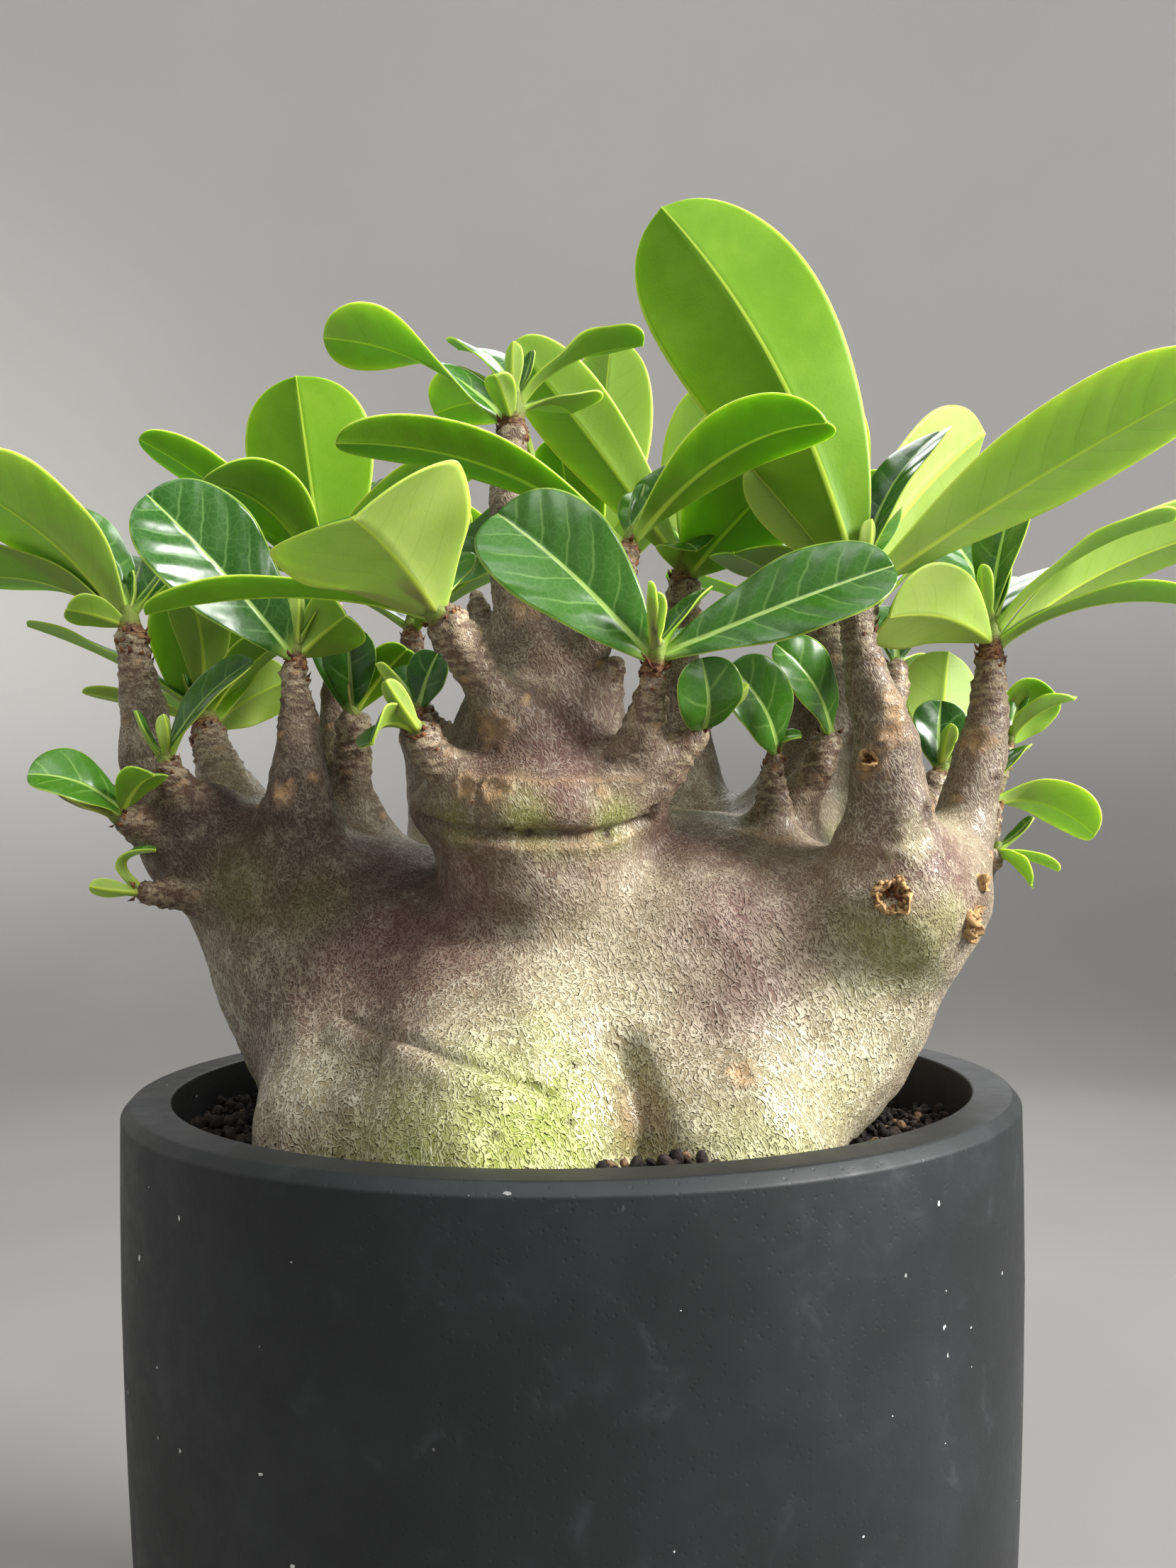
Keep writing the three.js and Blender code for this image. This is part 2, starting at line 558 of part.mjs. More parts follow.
// A point of the blade: share along it, from -1 to 1 across it, and lift off its middle surface
function bladePoint(leaf, share, across, lift) {
  const back = 1 - share;
  const spot = leaf.root.clone().multiplyScalar(back * back);
  spot.addScaledVector(leaf.middle, 2 * share * back).addScaledVector(leaf.tip, share * share);
  const along = leaf.middle.clone().sub(leaf.root).multiplyScalar(back);
  along.addScaledVector(leaf.tip.clone().sub(leaf.middle), share).normalize();
  const up = leaf.up.clone().addScaledVector(along, -leaf.up.dot(along)).normalize();
  up.applyAxisAngle(along, -degrees(leaf.twist) * (share - 0.5));
  const side = along.clone().cross(up);
  const least = share < 0.3 ? STALK_HALF_WIDTH * (1 - share * 0.5) : TIP_HALF_WIDTH;
  const half = share >= 1 ? TIP_HALF_WIDTH : Math.max((leaf.width / 2) * bladeShape(share), least);
  spot.addScaledVector(side, across * half);
  return spot.addScaledVector(up, leaf.fold * Math.abs(across) * half + lift);
}

function bladeSolid(leaf) {
  const stations = leaf.length > LONG_LEAF ? LONG_STATIONS : SHORT_STATIONS;
  const half = BLADE_THICKNESS / 2;
  const corners = [[-1, half], [1, half], [1, -half], [-1, -half]];
  const rings = stations.map((share) => corners.map((c) => bladePoint(leaf, share, c[0], c[1]).toArray()));
  return ringTube(rings, [BLADE_UNDERSIDE]);
}

// Points spread over a blade, to test the room round it
function bladeSpots(leaf) {
  const spots = [];
  for (let step = 2; step < 11; step += 1) {
    for (const across of [-0.9, -0.45, 0, 0.45, 0.9]) {
      spots.push(bladePoint(leaf, step / 10, across, 0));
    }
  }
  return spots;
}

function clearOfBark(spots) {
  return spots.every((spot) => {
    const point = spot.toArray();
    const nearLimb = LIMBS.some((limb) => pathDistance(point, limb.path) < BARK_ROOM);
    const inLobe = LOBES.some((lobe) => {
      const reach = [0, 1, 2].map((axis) => ((point[axis] - lobe.at[axis]) / lobe.size[axis]) ** 2);
      return Math.sqrt(reach[0] + reach[1] + reach[2]) < LOBE_REACH;
    });
    return !nearLimb && !inLobe;
  });
}

function clearOfLeaves(spots, shoot, placed) {
  return placed.every((other) => {
    const sister = other.leaf.shoot === shoot;
    const room = sister ? SISTER_ROOM : LEAF_ROOM;
    const mine = sister ? spots.slice(10) : spots;
    const theirs = sister ? other.spots.slice(10) : other.spots;
    return mine.every((a) => theirs.every((b) => a.distanceTo(b) >= room));
  });
}

function insideCanopy(spots, tip) {
  const middle = Math.abs(tip.x + 5) < CANOPY_MIDDLE_HALF_WIDTH;
  const ceiling = middle ? CANOPY_MIDDLE_HEIGHT : CANOPY_SIDE_HEIGHT;
  return spots.every((spot) => Math.abs(spot.x) <= CANOPY_HALF_WIDTH
    && Math.abs(spot.y) <= CANOPY_HALF_DEPTH && spot.z <= ceiling);
}

// A repeatable run of numbers from 0 to 1
function randomRun(seed) {
  let state = seed;
  return () => {
    state = (state * 1664525 + 1013904223) % 4294967296;
    return state / 4294967296;
  };
}

// All leaves: those of the front first, then the rest, each kept clear of what stands already
function placedLeaves() {
  const placed = [];
  for (const [shoot, tip, width, round, above, arch, sweep, twist = 0] of LEAVES) {
    const root = nextRoot(placed, shoot);
    const face = facing(round, above);
    const leaf = leafBetween(shoot, root, vector(tip), face, width, arch, sweep, HERO_FOLD, twist);
    placed.push({ leaf, spots: bladeSpots(leaf) });
  }
  const random = randomRun(SEED);
  for (const [shoot, count, length, width, middle, spread] of RULE) {
    for (let index = 0; index < count; index += 1) {
      const leaf = ruleLeaf(random, placed, { shoot, count, length, width, middle, spread, index });
      if (leaf) {
        placed.push({ leaf, spots: bladeSpots(leaf) });
      }
    }
  }
  return placed.map((entry) => entry.leaf);
}

// Leaves sit one above the other on the end bud of their limb
function nextRoot(placed, shoot) {
  const limb = limbEnd(shoot);
  const below = placed.filter((entry) => entry.leaf.shoot === shoot).length;
  return limb.end.clone().addScaledVector(limb.along, FIRST_LEAF_RISE + LEAF_STEP * below);
}

// One more leaf round a shoot: turned by the golden angle, nudged until it has room.
// The lowest lie flattest and are the largest, and the last ones stand up.
function ruleLeaf(random, placed, rule) {
  const grown = Math.min(1, (rule.count - rule.index) / 3);
  for (let attempt = 0; attempt < TRIES_PER_LEAF; attempt += 1) {
    const turn = ((0.5 + 0.618034 * rule.index) % 1) - 0.5;
    const round = rule.middle + rule.spread * turn + (random() - 0.5) * (20 + attempt * 4);
    const above = 14 + (50 * (rule.index + 0.5)) / rule.count + (random() - 0.5) * (26 + attempt);
    const length = rule.length * (0.6 + 0.4 * grown) * (0.85 + 0.3 * random()) * (1 - 0.012 * attempt);
    const width = rule.width * (0.65 + 0.35 * grown) * (0.9 + 0.2 * random());
    const droop = random();
    const root = nextRoot(placed, rule.shoot);
    const tip = root.clone().addScaledVector(facing(round, above), length);
    const face = facing(round + 180, 90 - above);
    const sweep = (random() - 0.5) * length * 0.1;
    const fold = 0.12 + 0.12 * random();
    const leaf = leafBetween(rule.shoot, root, tip, face, width, length * (0.03 + 0.09 * droop), sweep, fold);
    const spots = bladeSpots(leaf);
    if (clearOfBark(spots) && insideCanopy(spots, tip) && clearOfLeaves(spots, rule.shoot, placed)) {
      return leaf;
    }
  }
  return null;
}

// The green end bud that a shoot's leaves grow from, just clear of the bark
function budSolid(limb, leafCount) {
  const radius = limb.radius * 0.92;
  const tall = FIRST_LEAF_RISE + LEAF_STEP * leafCount + 1.5;
  const bud = turned([[0, 0], [radius, 0], [radius * 0.8, tall * 0.6], [0, tall]], BUD_SIDES);
  const turn = new THREE.Quaternion().setFromUnitVectors(new THREE.Vector3(0, 0, 1), limb.along);
  bud.applyQuaternion(turn);
  const spot = limb.end.clone().addScaledVector(limb.along, GAP);
  bud.translate(spot.x, spot.y, spot.z);
  return solidOf(bud);
}

function potSolid() {
  const rim = [[POT_RADIUS, CHAMFER_HEIGHT], [RIM_OUTER, POT_HEIGHT], [RIM_INNER, POT_HEIGHT]];
  const floor = [[FLOOR_RADIUS, FLOOR_THICKNESS], [0, FLOOR_THICKNESS]];
  let pot = solidOf(turned([[0, 0], ...WALL_OUTSIDE, ...rim, ...WALL_INSIDE, ...floor], POT_SIDES));
  for (let k = 0; k < DRAIN_HOLES; k += 1) {
    const angle = (2 * Math.PI * k) / DRAIN_HOLES + Math.PI / 2;
    const drill = new THREE.CylinderGeometry(DRAIN_RADIUS, DRAIN_RADIUS, 3 * FLOOR_THICKNESS, DRAIN_SIDES);
    drill.rotateX(Math.PI / 2);
    drill.translate(DRAIN_CIRCLE * Math.cos(angle), DRAIN_CIRCLE * Math.sin(angle), 0);
    pot = pot.subtract(solidOf(drill));
  }
  return pot;
}

function hump(x, y, place) {
  const away = (x - place.x) ** 2 + (y - place.y) ** 2;
  return place.height * Math.exp(-away / (2 * place.spread ** 2));
}

// Height of the mix, from the rim
function soilHeight(x, y) {
  return SOIL_LEVEL + hump(x, y, MOUND) + hump(x, y, DIP);
}

// The mix fills the pot, with a rough top and a pocket that the trunk stands in
function soilSolid() {
  const top = POT_HEIGHT + SOIL_LEVEL;
  const cap = [...SOIL_RINGS].reverse().map((radius) => [radius, top]);
  const geometry = turned([[0, FLOOR_THICKNESS + GAP], ...SOIL_WALL, ...cap], SOIL_SIDES);
  geometry.deleteAttribute("normal");
  geometry.deleteAttribute("uv");
  const merged = mergeVertices(geometry, 1e-3);
  const position = merged.attributes.position;
  const random = randomRun(SEED);
  for (let k = 0; k < position.count; k += 1) {
    if (position.getZ(k) > top - 0.01) {
      const x = position.getX(k);
      const y = position.getY(k);
      position.setZ(k, POT_HEIGHT + soilHeight(x, y) + (random() - 0.5) * 2 * GRIT_RELIEF);
    }
  }
  const grown = trunkSolid(POCKET_GAP, POCKET_TOP);
  const pocket = grown.subtract(blockBelow(TRUNK_DEPTH - GAP));
  return solidOf(merged).subtract(pocket.translate(0, 0, POT_HEIGHT));
}

function node(name, solid, colour, roughness) {
  const material = new THREE.MeshStandardMaterial({ color: colour, roughness, metalness: 0 });
  const mesh = new THREE.Mesh(geometryOf(solid), material);
  mesh.name = name;
  return mesh;
}

const group = new THREE.Group();
group.add(node("pot", potSolid(), 0x26282b, 0.62));
group.add(node("soil", soilSolid(), 0x2b2622, 0.95));

const plant = new THREE.Group();
plant.position.z = POT_HEIGHT;
plant.add(node("trunk", plantSolid(), 0x8f8672, 0.75));

const leaves = placedLeaves();
for (const limb of LIMBS) {
  const own = leaves.filter((leaf) => leaf.shoot === limb.name);
  if (own.length > 0) {
    const pieces = [budSolid(limbEnd(limb.name), own.length), ...own.map(bladeSolid)];
    const name = `leaves_${limb.name.replaceAll(" ", "_")}`;
    plant.add(node(name, wasm.Manifold.union(pieces), 0x3f7d2a, 0.4));
  }
}
group.add(plant);

export default group;
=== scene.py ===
# %% [markdown]
# A desert rose in a charcoal pot.
#
# The plant is a swollen trunk that stores water, with short branches that end in rosettes of thick,
# glossy leaves. It stands in volcanic grit in a round, matt pot. This lesson loads the plain solids
# as a frame, then makes each piece again with the fine shape and the finish of the real one, in the
# same place. All sizes are in millimetres until a mesh is made.

# %% Load the frame
import math

import bmesh
import bpy
import numpy as np
from mathutils import Matrix, Vector


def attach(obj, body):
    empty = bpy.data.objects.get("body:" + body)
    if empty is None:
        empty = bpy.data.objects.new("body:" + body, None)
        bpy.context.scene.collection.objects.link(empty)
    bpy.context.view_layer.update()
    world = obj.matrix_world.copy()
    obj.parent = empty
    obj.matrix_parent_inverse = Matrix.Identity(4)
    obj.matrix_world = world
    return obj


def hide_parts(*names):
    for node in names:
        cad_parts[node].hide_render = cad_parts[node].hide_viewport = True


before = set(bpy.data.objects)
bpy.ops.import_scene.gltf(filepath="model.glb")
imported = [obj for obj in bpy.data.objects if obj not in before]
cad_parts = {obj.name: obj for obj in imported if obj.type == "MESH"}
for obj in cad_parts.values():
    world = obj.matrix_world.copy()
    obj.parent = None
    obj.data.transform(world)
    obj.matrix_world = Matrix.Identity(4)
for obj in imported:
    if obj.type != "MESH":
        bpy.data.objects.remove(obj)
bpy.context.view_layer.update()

# %% [markdown]
# The camera comes first, so that each piece can be judged from the right place as it is made. The
# picture was taken from close by, level with the branches and tilted a hair upwards. A focal length
# in pixels, divided by the picture's height, gives the same crop on any sensor.

# %% Camera
MM = 0.001
PICTURE_HEIGHT = 2212
FOCAL_PIXELS = 1750
SENSOR_HEIGHT = 36
CAMERA_PLACE = (3.42, -237.1, 184.85)
CAMERA_TILT = math.pi / 2 + 0.0632
CAMERA_ROLL = -0.0113

camera_data = bpy.data.cameras.new("camera")
camera_data.sensor_fit = "VERTICAL"
camera_data.sensor_height = SENSOR_HEIGHT
camera_data.lens = SENSOR_HEIGHT * FOCAL_PIXELS / PICTURE_HEIGHT
camera_data.clip_start = 10 * MM
camera = bpy.data.objects.new("camera", camera_data)
camera.matrix_world = (Matrix.Translation(Vector(CAMERA_PLACE) * MM)
                       @ Matrix.Rotation(CAMERA_TILT, 4, "X") @ Matrix.Rotation(CAMERA_ROLL, 4, "Z"))
bpy.context.scene.collection.objects.link(camera)
bpy.context.scene.camera = camera
print("lens:", round(camera_data.lens, 2), "mm")

# %% [markdown]
# Finishes are built from nodes. Writing each node out by hand soon hides what a finish does, so a
# small helper adds a node, fills or links its inputs, and hands back its output. Colours are written
# as they look on a screen, from 0 to 255, and turned into the linear values that a shader wants.

# %% Screen colours
def paint(red, green, blue):
    """A screen colour as linear light."""
    share = [value / 255 for value in (red, green, blue)]
    return tuple(v / 12.92 if v <= 0.04045 else ((v + 0.055) / 1.055) ** 2.4 for v in share) + (1.0,)


print("middle grey in linear light:", round(paint(128, 128, 128)[0], 3))

# %% Helper for finishes
class Finish:
    """A material while it is being made."""

    def __init__(self, name, roughness=0.5, specular=0.5):
        self.material = bpy.data.materials.new(name)
        self.material.use_nodes = True
        self.tree = self.material.node_tree
        self.shader = self.tree.nodes["Principled BSDF"]
        self.shader.inputs["Roughness"].default_value = roughness
        self.shader.inputs["Specular IOR Level"].default_value = specular

    def node(self, kind, inputs, output=0, **settings):
        """Adds a node with its inputs, each a number, a colour or the output of another node."""
        made = self.tree.nodes.new("ShaderNode" + kind)
        for name, value in settings.items():
            setattr(made, name, value)
        for name, value in inputs.items():
            self.feed(made.inputs[name], value)
        return made.outputs[output]

    def feed(self, socket, value):
        if isinstance(value, bpy.types.NodeSocket):
            self.tree.links.new(value, socket)
        else:
            socket.default_value = value

    def maths(self, operation, first, second=0.0, third=0.0):
        return self.node("Math", {0: first, 1: second, 2: third}, operation=operation)

    def band(self, value, low, high, start=0.0, end=1.0):
        """Rises smoothly from start to end while value goes from low to high."""
        inputs = {0: value, 1: low, 2: high, 3: start, 4: end}
        return self.node("MapRange", inputs, interpolation_type="SMOOTHSTEP", clamp=True)

    def place(self, stretch=(1, 1, 1)):
        """The point of the piece in millimetres, squeezed along its axes."""
        here = self.node("TexCoord", {}, output="Object")
        return self.node("VectorMath", {0: here, 1: tuple(1000 * s for s in stretch)}, operation="MULTIPLY")

    def noise(self, place, size, detail=3.0, roughness=0.5, distortion=0.0):
        """Cloudy noise whose blobs are about that many millimetres across."""
        inputs = {"Vector": place, "Scale": 1 / size, "Detail": detail, "Roughness": roughness,
                  "Distortion": distortion}
        return self.node("TexNoise", inputs)

    def mix(self, share, first, second):
        """Goes from the first colour to the second as share goes from 0 to 1."""
        made = self.tree.nodes.new("ShaderNodeMix")
        made.data_type = "RGBA"
        for socket, value in zip((0, 6, 7), (share, first, second)):
            self.feed(made.inputs[socket], value)
        return made.outputs[2]

    def part(self, value, share):
        """A share of a value, both from 0 to 1."""
        return self.maths("MULTIPLY", value, share)

    def attribute(self, name):
        return self.node("Attribute", {}, output="Fac", attribute_name=name)

    def bump(self, height, distance, below=None, strength=1.0):
        """Lifts the surface by height times distance, in millimetres."""
        inputs = {"Height": height, "Distance": distance * MM, "Strength": strength}
        if below is not None:
            inputs["Normal"] = below
        return self.node("Bump", inputs)

    def close(self, colour, normal=None, roughness=None):
        self.feed(self.shader.inputs["Base Color"], colour)
        if normal is not None:
            self.feed(self.shader.inputs["Normal"], normal)
        if roughness is not None:
            self.feed(self.shader.inputs["Roughness"], roughness)
        return self.material


print("a finish can add:", [name for name in vars(Finish) if not name.startswith("_")])

# %% [markdown]
# Every piece goes through one function. It takes points in millimetres, makes the mesh in metres,
# hands it its finishes and the numbers that they read at each point, ties it to the frame and hides
# the solids that it stands for.

# %% Helper for pieces
def make_piece(name, points, faces, finishes, stands_for=(), face_finish=None, marks=None, uv=None):
    """Makes a mesh from points in millimetres and ties it to the frame."""
    mesh = bpy.data.meshes.new(name)
    faces = faces if isinstance(faces, list) else faces.tolist()
    mesh.from_pydata(np.asarray(points, float) * MM, [], faces)
    for finish in finishes:
        mesh.materials.append(finish)
    if face_finish is not None:
        mesh.polygons.foreach_set("material_index", np.asarray(face_finish, np.int32))
    for mark, values in (marks or {}).items():
        mesh.attributes.new(mark, "FLOAT", "POINT").data.foreach_set("value", np.asarray(values, np.float32))
    if uv is not None:
        corners = np.zeros(len(mesh.loops), np.int32)
        mesh.loops.foreach_get("vertex_index", corners)
        layer = mesh.uv_layers.new(name="flat")
        layer.data.foreach_set("uv", np.asarray(uv, np.float32)[corners].ravel())
    mesh.polygons.foreach_set("use_smooth", np.ones(len(mesh.polygons), bool))
    mesh.update()
    piece = bpy.data.objects.new(name, mesh)
    bpy.context.scene.collection.objects.link(piece)
    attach(piece, "root")
    if stands_for:
        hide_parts(*stands_for)
    triangles = sum(len(face) - 2 for face in faces)
    print(f"{name}: {len(mesh.vertices)} points, {triangles} triangles")
    return piece


print("one millimetre is", MM, "of Blender's units")

# %% Helpers for turned shapes
def turned(profile, sides):
    """Turns a profile of radius and height round the upright axis, on which it starts and ends."""
    angles = 2 * np.pi * np.arange(sides) / sides
    ring = np.array(profile[1:-1], float)
    points = [(r * np.cos(a), r * np.sin(a), z) for r, z in ring for a in angles]
    points += [(0, 0, profile[0][1]), (0, 0, profile[-1][1])]
    first, last = len(points) - 2, len(points) - 1
    faces = []
    for side in range(sides):
        after = (side + 1) % sides
        faces.append([first, after, side])
        for k in range(len(ring) - 1):
            low, high = k * sides, (k + 1) * sides
            faces.append([low + side, low + after, high + after, high + side])
        top = (len(ring) - 1) * sides
        faces.append([top + side, top + after, last])
    return points, faces


def rounded(corner, before, after, radius, steps=5):
    """A profile corner replaced by a small round one."""
    corner, before, after = (np.array(p, float) for p in (corner, before, after))
    start = corner + (before - corner) / np.linalg.norm(before - corner) * radius
    end = corner + (after - corner) / np.linalg.norm(after - corner) * radius
    shares = np.linspace(0, 1, steps)
    return [tuple((1 - s) ** 2 * start + 2 * s * (1 - s) * corner + s * s * end) for s in shares]


print("a small cone has", len(turned([(0, 0), (1, 0), (0, 1)], 8)[0]), "points")

# %% [markdown]
# The pot is slip-cast or pressed, dyed through in a charcoal grey, with a thick wall. Its rim is cut
# flat and its outer edge is ground off at 45 degrees. A turned profile gives it exactly. The corners
# get small roundings, because a corner with no radius never catches the light. The five drain holes
# are cut with a boolean, as a drill would.

# %% Pot shape
RIM = 145.0
POT_SIDES = 200
DRAIN_HOLES = 5
DRAIN_RADIUS = 5.0
DRAIN_CIRCLE = 34.0
FLOOR_THICKNESS = 12.0
POT_OUTSIDE = [(61, 0), (64, 1), (67.5, 7), (71, 20), (75.2, 48), (78, 84), (79.5, 115)]
POT_UPPER = (79.85, 130)
POT_EDGE = (80, 143.3)
POT_CHAMFER = (78.5, RIM)
POT_LIP = (71.9, RIM)
POT_INSIDE = [(71.2, 100), (68.5, 60), (63, 22), (56, FLOOR_THICKNESS)]
EDGE_ROUND = 0.35
LIP_ROUND = 0.5


def smooth_profile(profile, steps):
    """A smooth line through the points of a profile."""
    line = []
    for k in range(len(profile) - 1):
        before = np.array(profile[max(k - 1, 0)], float)
        start, end = np.array(profile[k], float), np.array(profile[k + 1], float)
        after = np.array(profile[min(k + 2, len(profile) - 1)], float)
        turn = 2 * before - 5 * start + 4 * end - after
        twist = 3 * start - before - 3 * end + after
        for s in np.arange(steps) / steps:
            line.append(tuple(0.5 * (2 * start + (end - before) * s + turn * s ** 2 + twist * s ** 3)))
    return line + [profile[-1]]


pot_profile = [(0, 0)] + smooth_profile(POT_OUTSIDE, 4) + [POT_UPPER]
pot_profile += rounded(POT_EDGE, POT_UPPER, POT_CHAMFER, EDGE_ROUND)
pot_profile += rounded(POT_CHAMFER, POT_EDGE, POT_LIP, EDGE_ROUND)
pot_profile += rounded(POT_LIP, POT_CHAMFER, POT_INSIDE[0], LIP_ROUND)
pot_profile += smooth_profile(POT_INSIDE, 3) + [(0, FLOOR_THICKNESS)]
pot_points, pot_faces = turned(pot_profile, POT_SIDES)
print("profile points:", len(pot_profile))

# %% [markdown]
# The finish is what makes this pot: a matt charcoal body with a faint cloudy bloom, a few slanting
# smears, fine pits, and white chips of aggregate that show here and there. Chips come from a cell
# pattern: a few cells, the ones whose own random number is high, show a small irregular dot.

# %% Chips in the clay
CHIP_WARP = 1.1
CHIP_WARP_SCALE = 1.1


def chips(finish, place, cell, share, size):
    """Small irregular dots: one in some of the cells."""
    warp = finish.node("TexNoise", {"Vector": place, "Scale": CHIP_WARP_SCALE, "Detail": 2.0}, output=1)
    moved = finish.node("VectorMath", {0: warp, 1: (0.5,) * 3}, operation="SUBTRACT")
    shifted = finish.node("VectorMath", {0: moved, 1: (CHIP_WARP,) * 3, 2: place}, operation="MULTIPLY_ADD")
    near = finish.node("TexVoronoi", {"Vector": shifted, "Scale": 1 / cell})
    own = finish.node("TexVoronoi", {"Vector": shifted, "Scale": 1 / cell}, output=1)
    pick = finish.node("SeparateColor", {0: own}, output=0)
    shown = finish.maths("GREATER_THAN", pick, 1 - share)
    grain = finish.node("SeparateColor", {0: own}, output=1)
    reach = finish.maths("MULTIPLY_ADD", grain, size / cell, 0.35 * size / cell)
    dot = finish.maths("LESS_THAN", near, reach)
    return finish.maths("MULTIPLY", dot, shown)


pot_finish = Finish("charcoal body", roughness=0.55, specular=0.4)
here = pot_finish.place()
small_chips = chips(pot_finish, here, cell=2.4, share=0.075, size=0.26)
large_chips = chips(pot_finish, here, cell=6.5, share=0.07, size=0.42)
crowd = pot_finish.band(pot_finish.noise(here, 38, detail=2), 0.38, 0.5)
white = pot_finish.maths("MAXIMUM", pot_finish.part(small_chips, crowd), large_chips)
print("nodes in the chips:", len(pot_finish.tree.nodes))

# %% Pot finish
CHARCOAL, WORN_CHARCOAL = paint(24, 26, 28), paint(38, 40, 43)
BLOOM, SMEAR, AGGREGATE = paint(72, 75, 78), paint(92, 95, 98), paint(212, 212, 208)
SMEAR_SLANT = 0.7
PORE_GAP = 1.3

cloud = pot_finish.noise(here, 45, detail=5, roughness=0.6)
bloom = pot_finish.noise(here, 9, detail=6, roughness=0.65, distortion=0.6)
body = pot_finish.mix(pot_finish.band(cloud, 0.35, 0.7), CHARCOAL, WORN_CHARCOAL)
body = pot_finish.mix(pot_finish.band(bloom, 0.55, 0.85, 0, 0.35), body, BLOOM)
slanted = pot_finish.node("VectorRotate", {"Vector": here, "Angle": SMEAR_SLANT}, rotation_type="Y_AXIS")
slanted = pot_finish.node("VectorMath", {0: slanted, 1: (1, 1, 0.12)}, operation="MULTIPLY")
smear = pot_finish.band(pot_finish.noise(slanted, 7, detail=5, roughness=0.7), 0.56, 0.74)
smear = pot_finish.part(smear, pot_finish.band(cloud, 0.45, 0.6, 0, 0.35))
body = pot_finish.mix(smear, body, SMEAR)
body = pot_finish.mix(pot_finish.part(white, 0.9), body, AGGREGATE)
pores = pot_finish.node("TexVoronoi", {"Vector": here, "Scale": 1 / PORE_GAP})
pits = pot_finish.band(pores, 0.10, 0.26)
tooth = pot_finish.noise(here, 0.5, detail=4)
skin = pot_finish.bump(tooth, 0.02, strength=0.6)
skin = pot_finish.bump(pits, 0.05, below=skin, strength=0.5)
skin = pot_finish.bump(white, 0.06, below=skin, strength=0.6)
dull = pot_finish.band(bloom, 0.3, 0.8, 0.48, 0.66)
charcoal = pot_finish.close(body, skin, dull)

pot = make_piece("pot_body", pot_points, pot_faces, [charcoal], ["pot"])

# %% Drain holes
DRILL_SIDES = 32

drill_mesh = bpy.data.meshes.new("drills")
drills = bmesh.new()
for k in range(DRAIN_HOLES):
    angle = 2 * math.pi * k / DRAIN_HOLES + math.pi / 2
    x, y = DRAIN_CIRCLE * math.cos(angle) * MM, DRAIN_CIRCLE * math.sin(angle) * MM
    spot = Matrix.Translation((x, y, 0))
    bmesh.ops.create_cone(drills, cap_ends=True, segments=DRILL_SIDES, radius1=DRAIN_RADIUS * MM,
                          radius2=DRAIN_RADIUS * MM, depth=4 * FLOOR_THICKNESS * MM, matrix=spot)
drills.to_mesh(drill_mesh)
drills.free()
drill = bpy.data.objects.new("drills", drill_mesh)
bpy.context.scene.collection.objects.link(drill)
cut = pot.modifiers.new("drain", "BOOLEAN")
cut.operation = "DIFFERENCE"
cut.object = drill
bpy.context.view_layer.update()
drilled = bpy.data.meshes.new_from_object(pot.evaluated_get(bpy.context.evaluated_depsgraph_get()))
pot.modifiers.clear()
pot.data = drilled
bpy.data.objects.remove(drill)
print("pot faces after drilling:", len(pot.data.polygons))

# %% [markdown]
# The plant grew as one piece, and it has no straight line in it. Instead of joining tubes, it is
# described as a distance: each swollen lobe is an ellipsoid and each branch a chain of round cones,
# and where two of them come near, their distances melt into each other as bark closes over a joint.
# The surface is where the distance is zero. Heights are measured from the rim of the pot.

# %% Trunk lobes and branches
# Of each lobe: its middle, its half axes and how far it melts into the ones before it
LOBES = [
    ("core", (-5, -4, 2), (45, 46, 40), 0),
    ("front belly", (-12, -36, -8), (25, 28, 27), 13),
    ("left foot", (-38, -27, -9), (15, 19, 24), 7),
    ("right belly", (22, -30, -8), (22, 28, 28), 9),
    ("right flank", (34, -8, 17), (23, 30, 26), 14),
    ("middle shoulder", (20, -14, 27), (28, 26, 21), 14),
    ("left shoulder", (-39, -2, 20), (24, 26, 24), 14),
    ("back belly", (6, 32, -4), (34, 28, 34), 14),
    ("back left", (-31, 26, 4), (25, 25, 32), 14),
    ("back right", (32, 22, 14), (22, 24, 28), 14),
    ("tower foot", (-5, -27, 49), (22, 20, 9), 3),
]
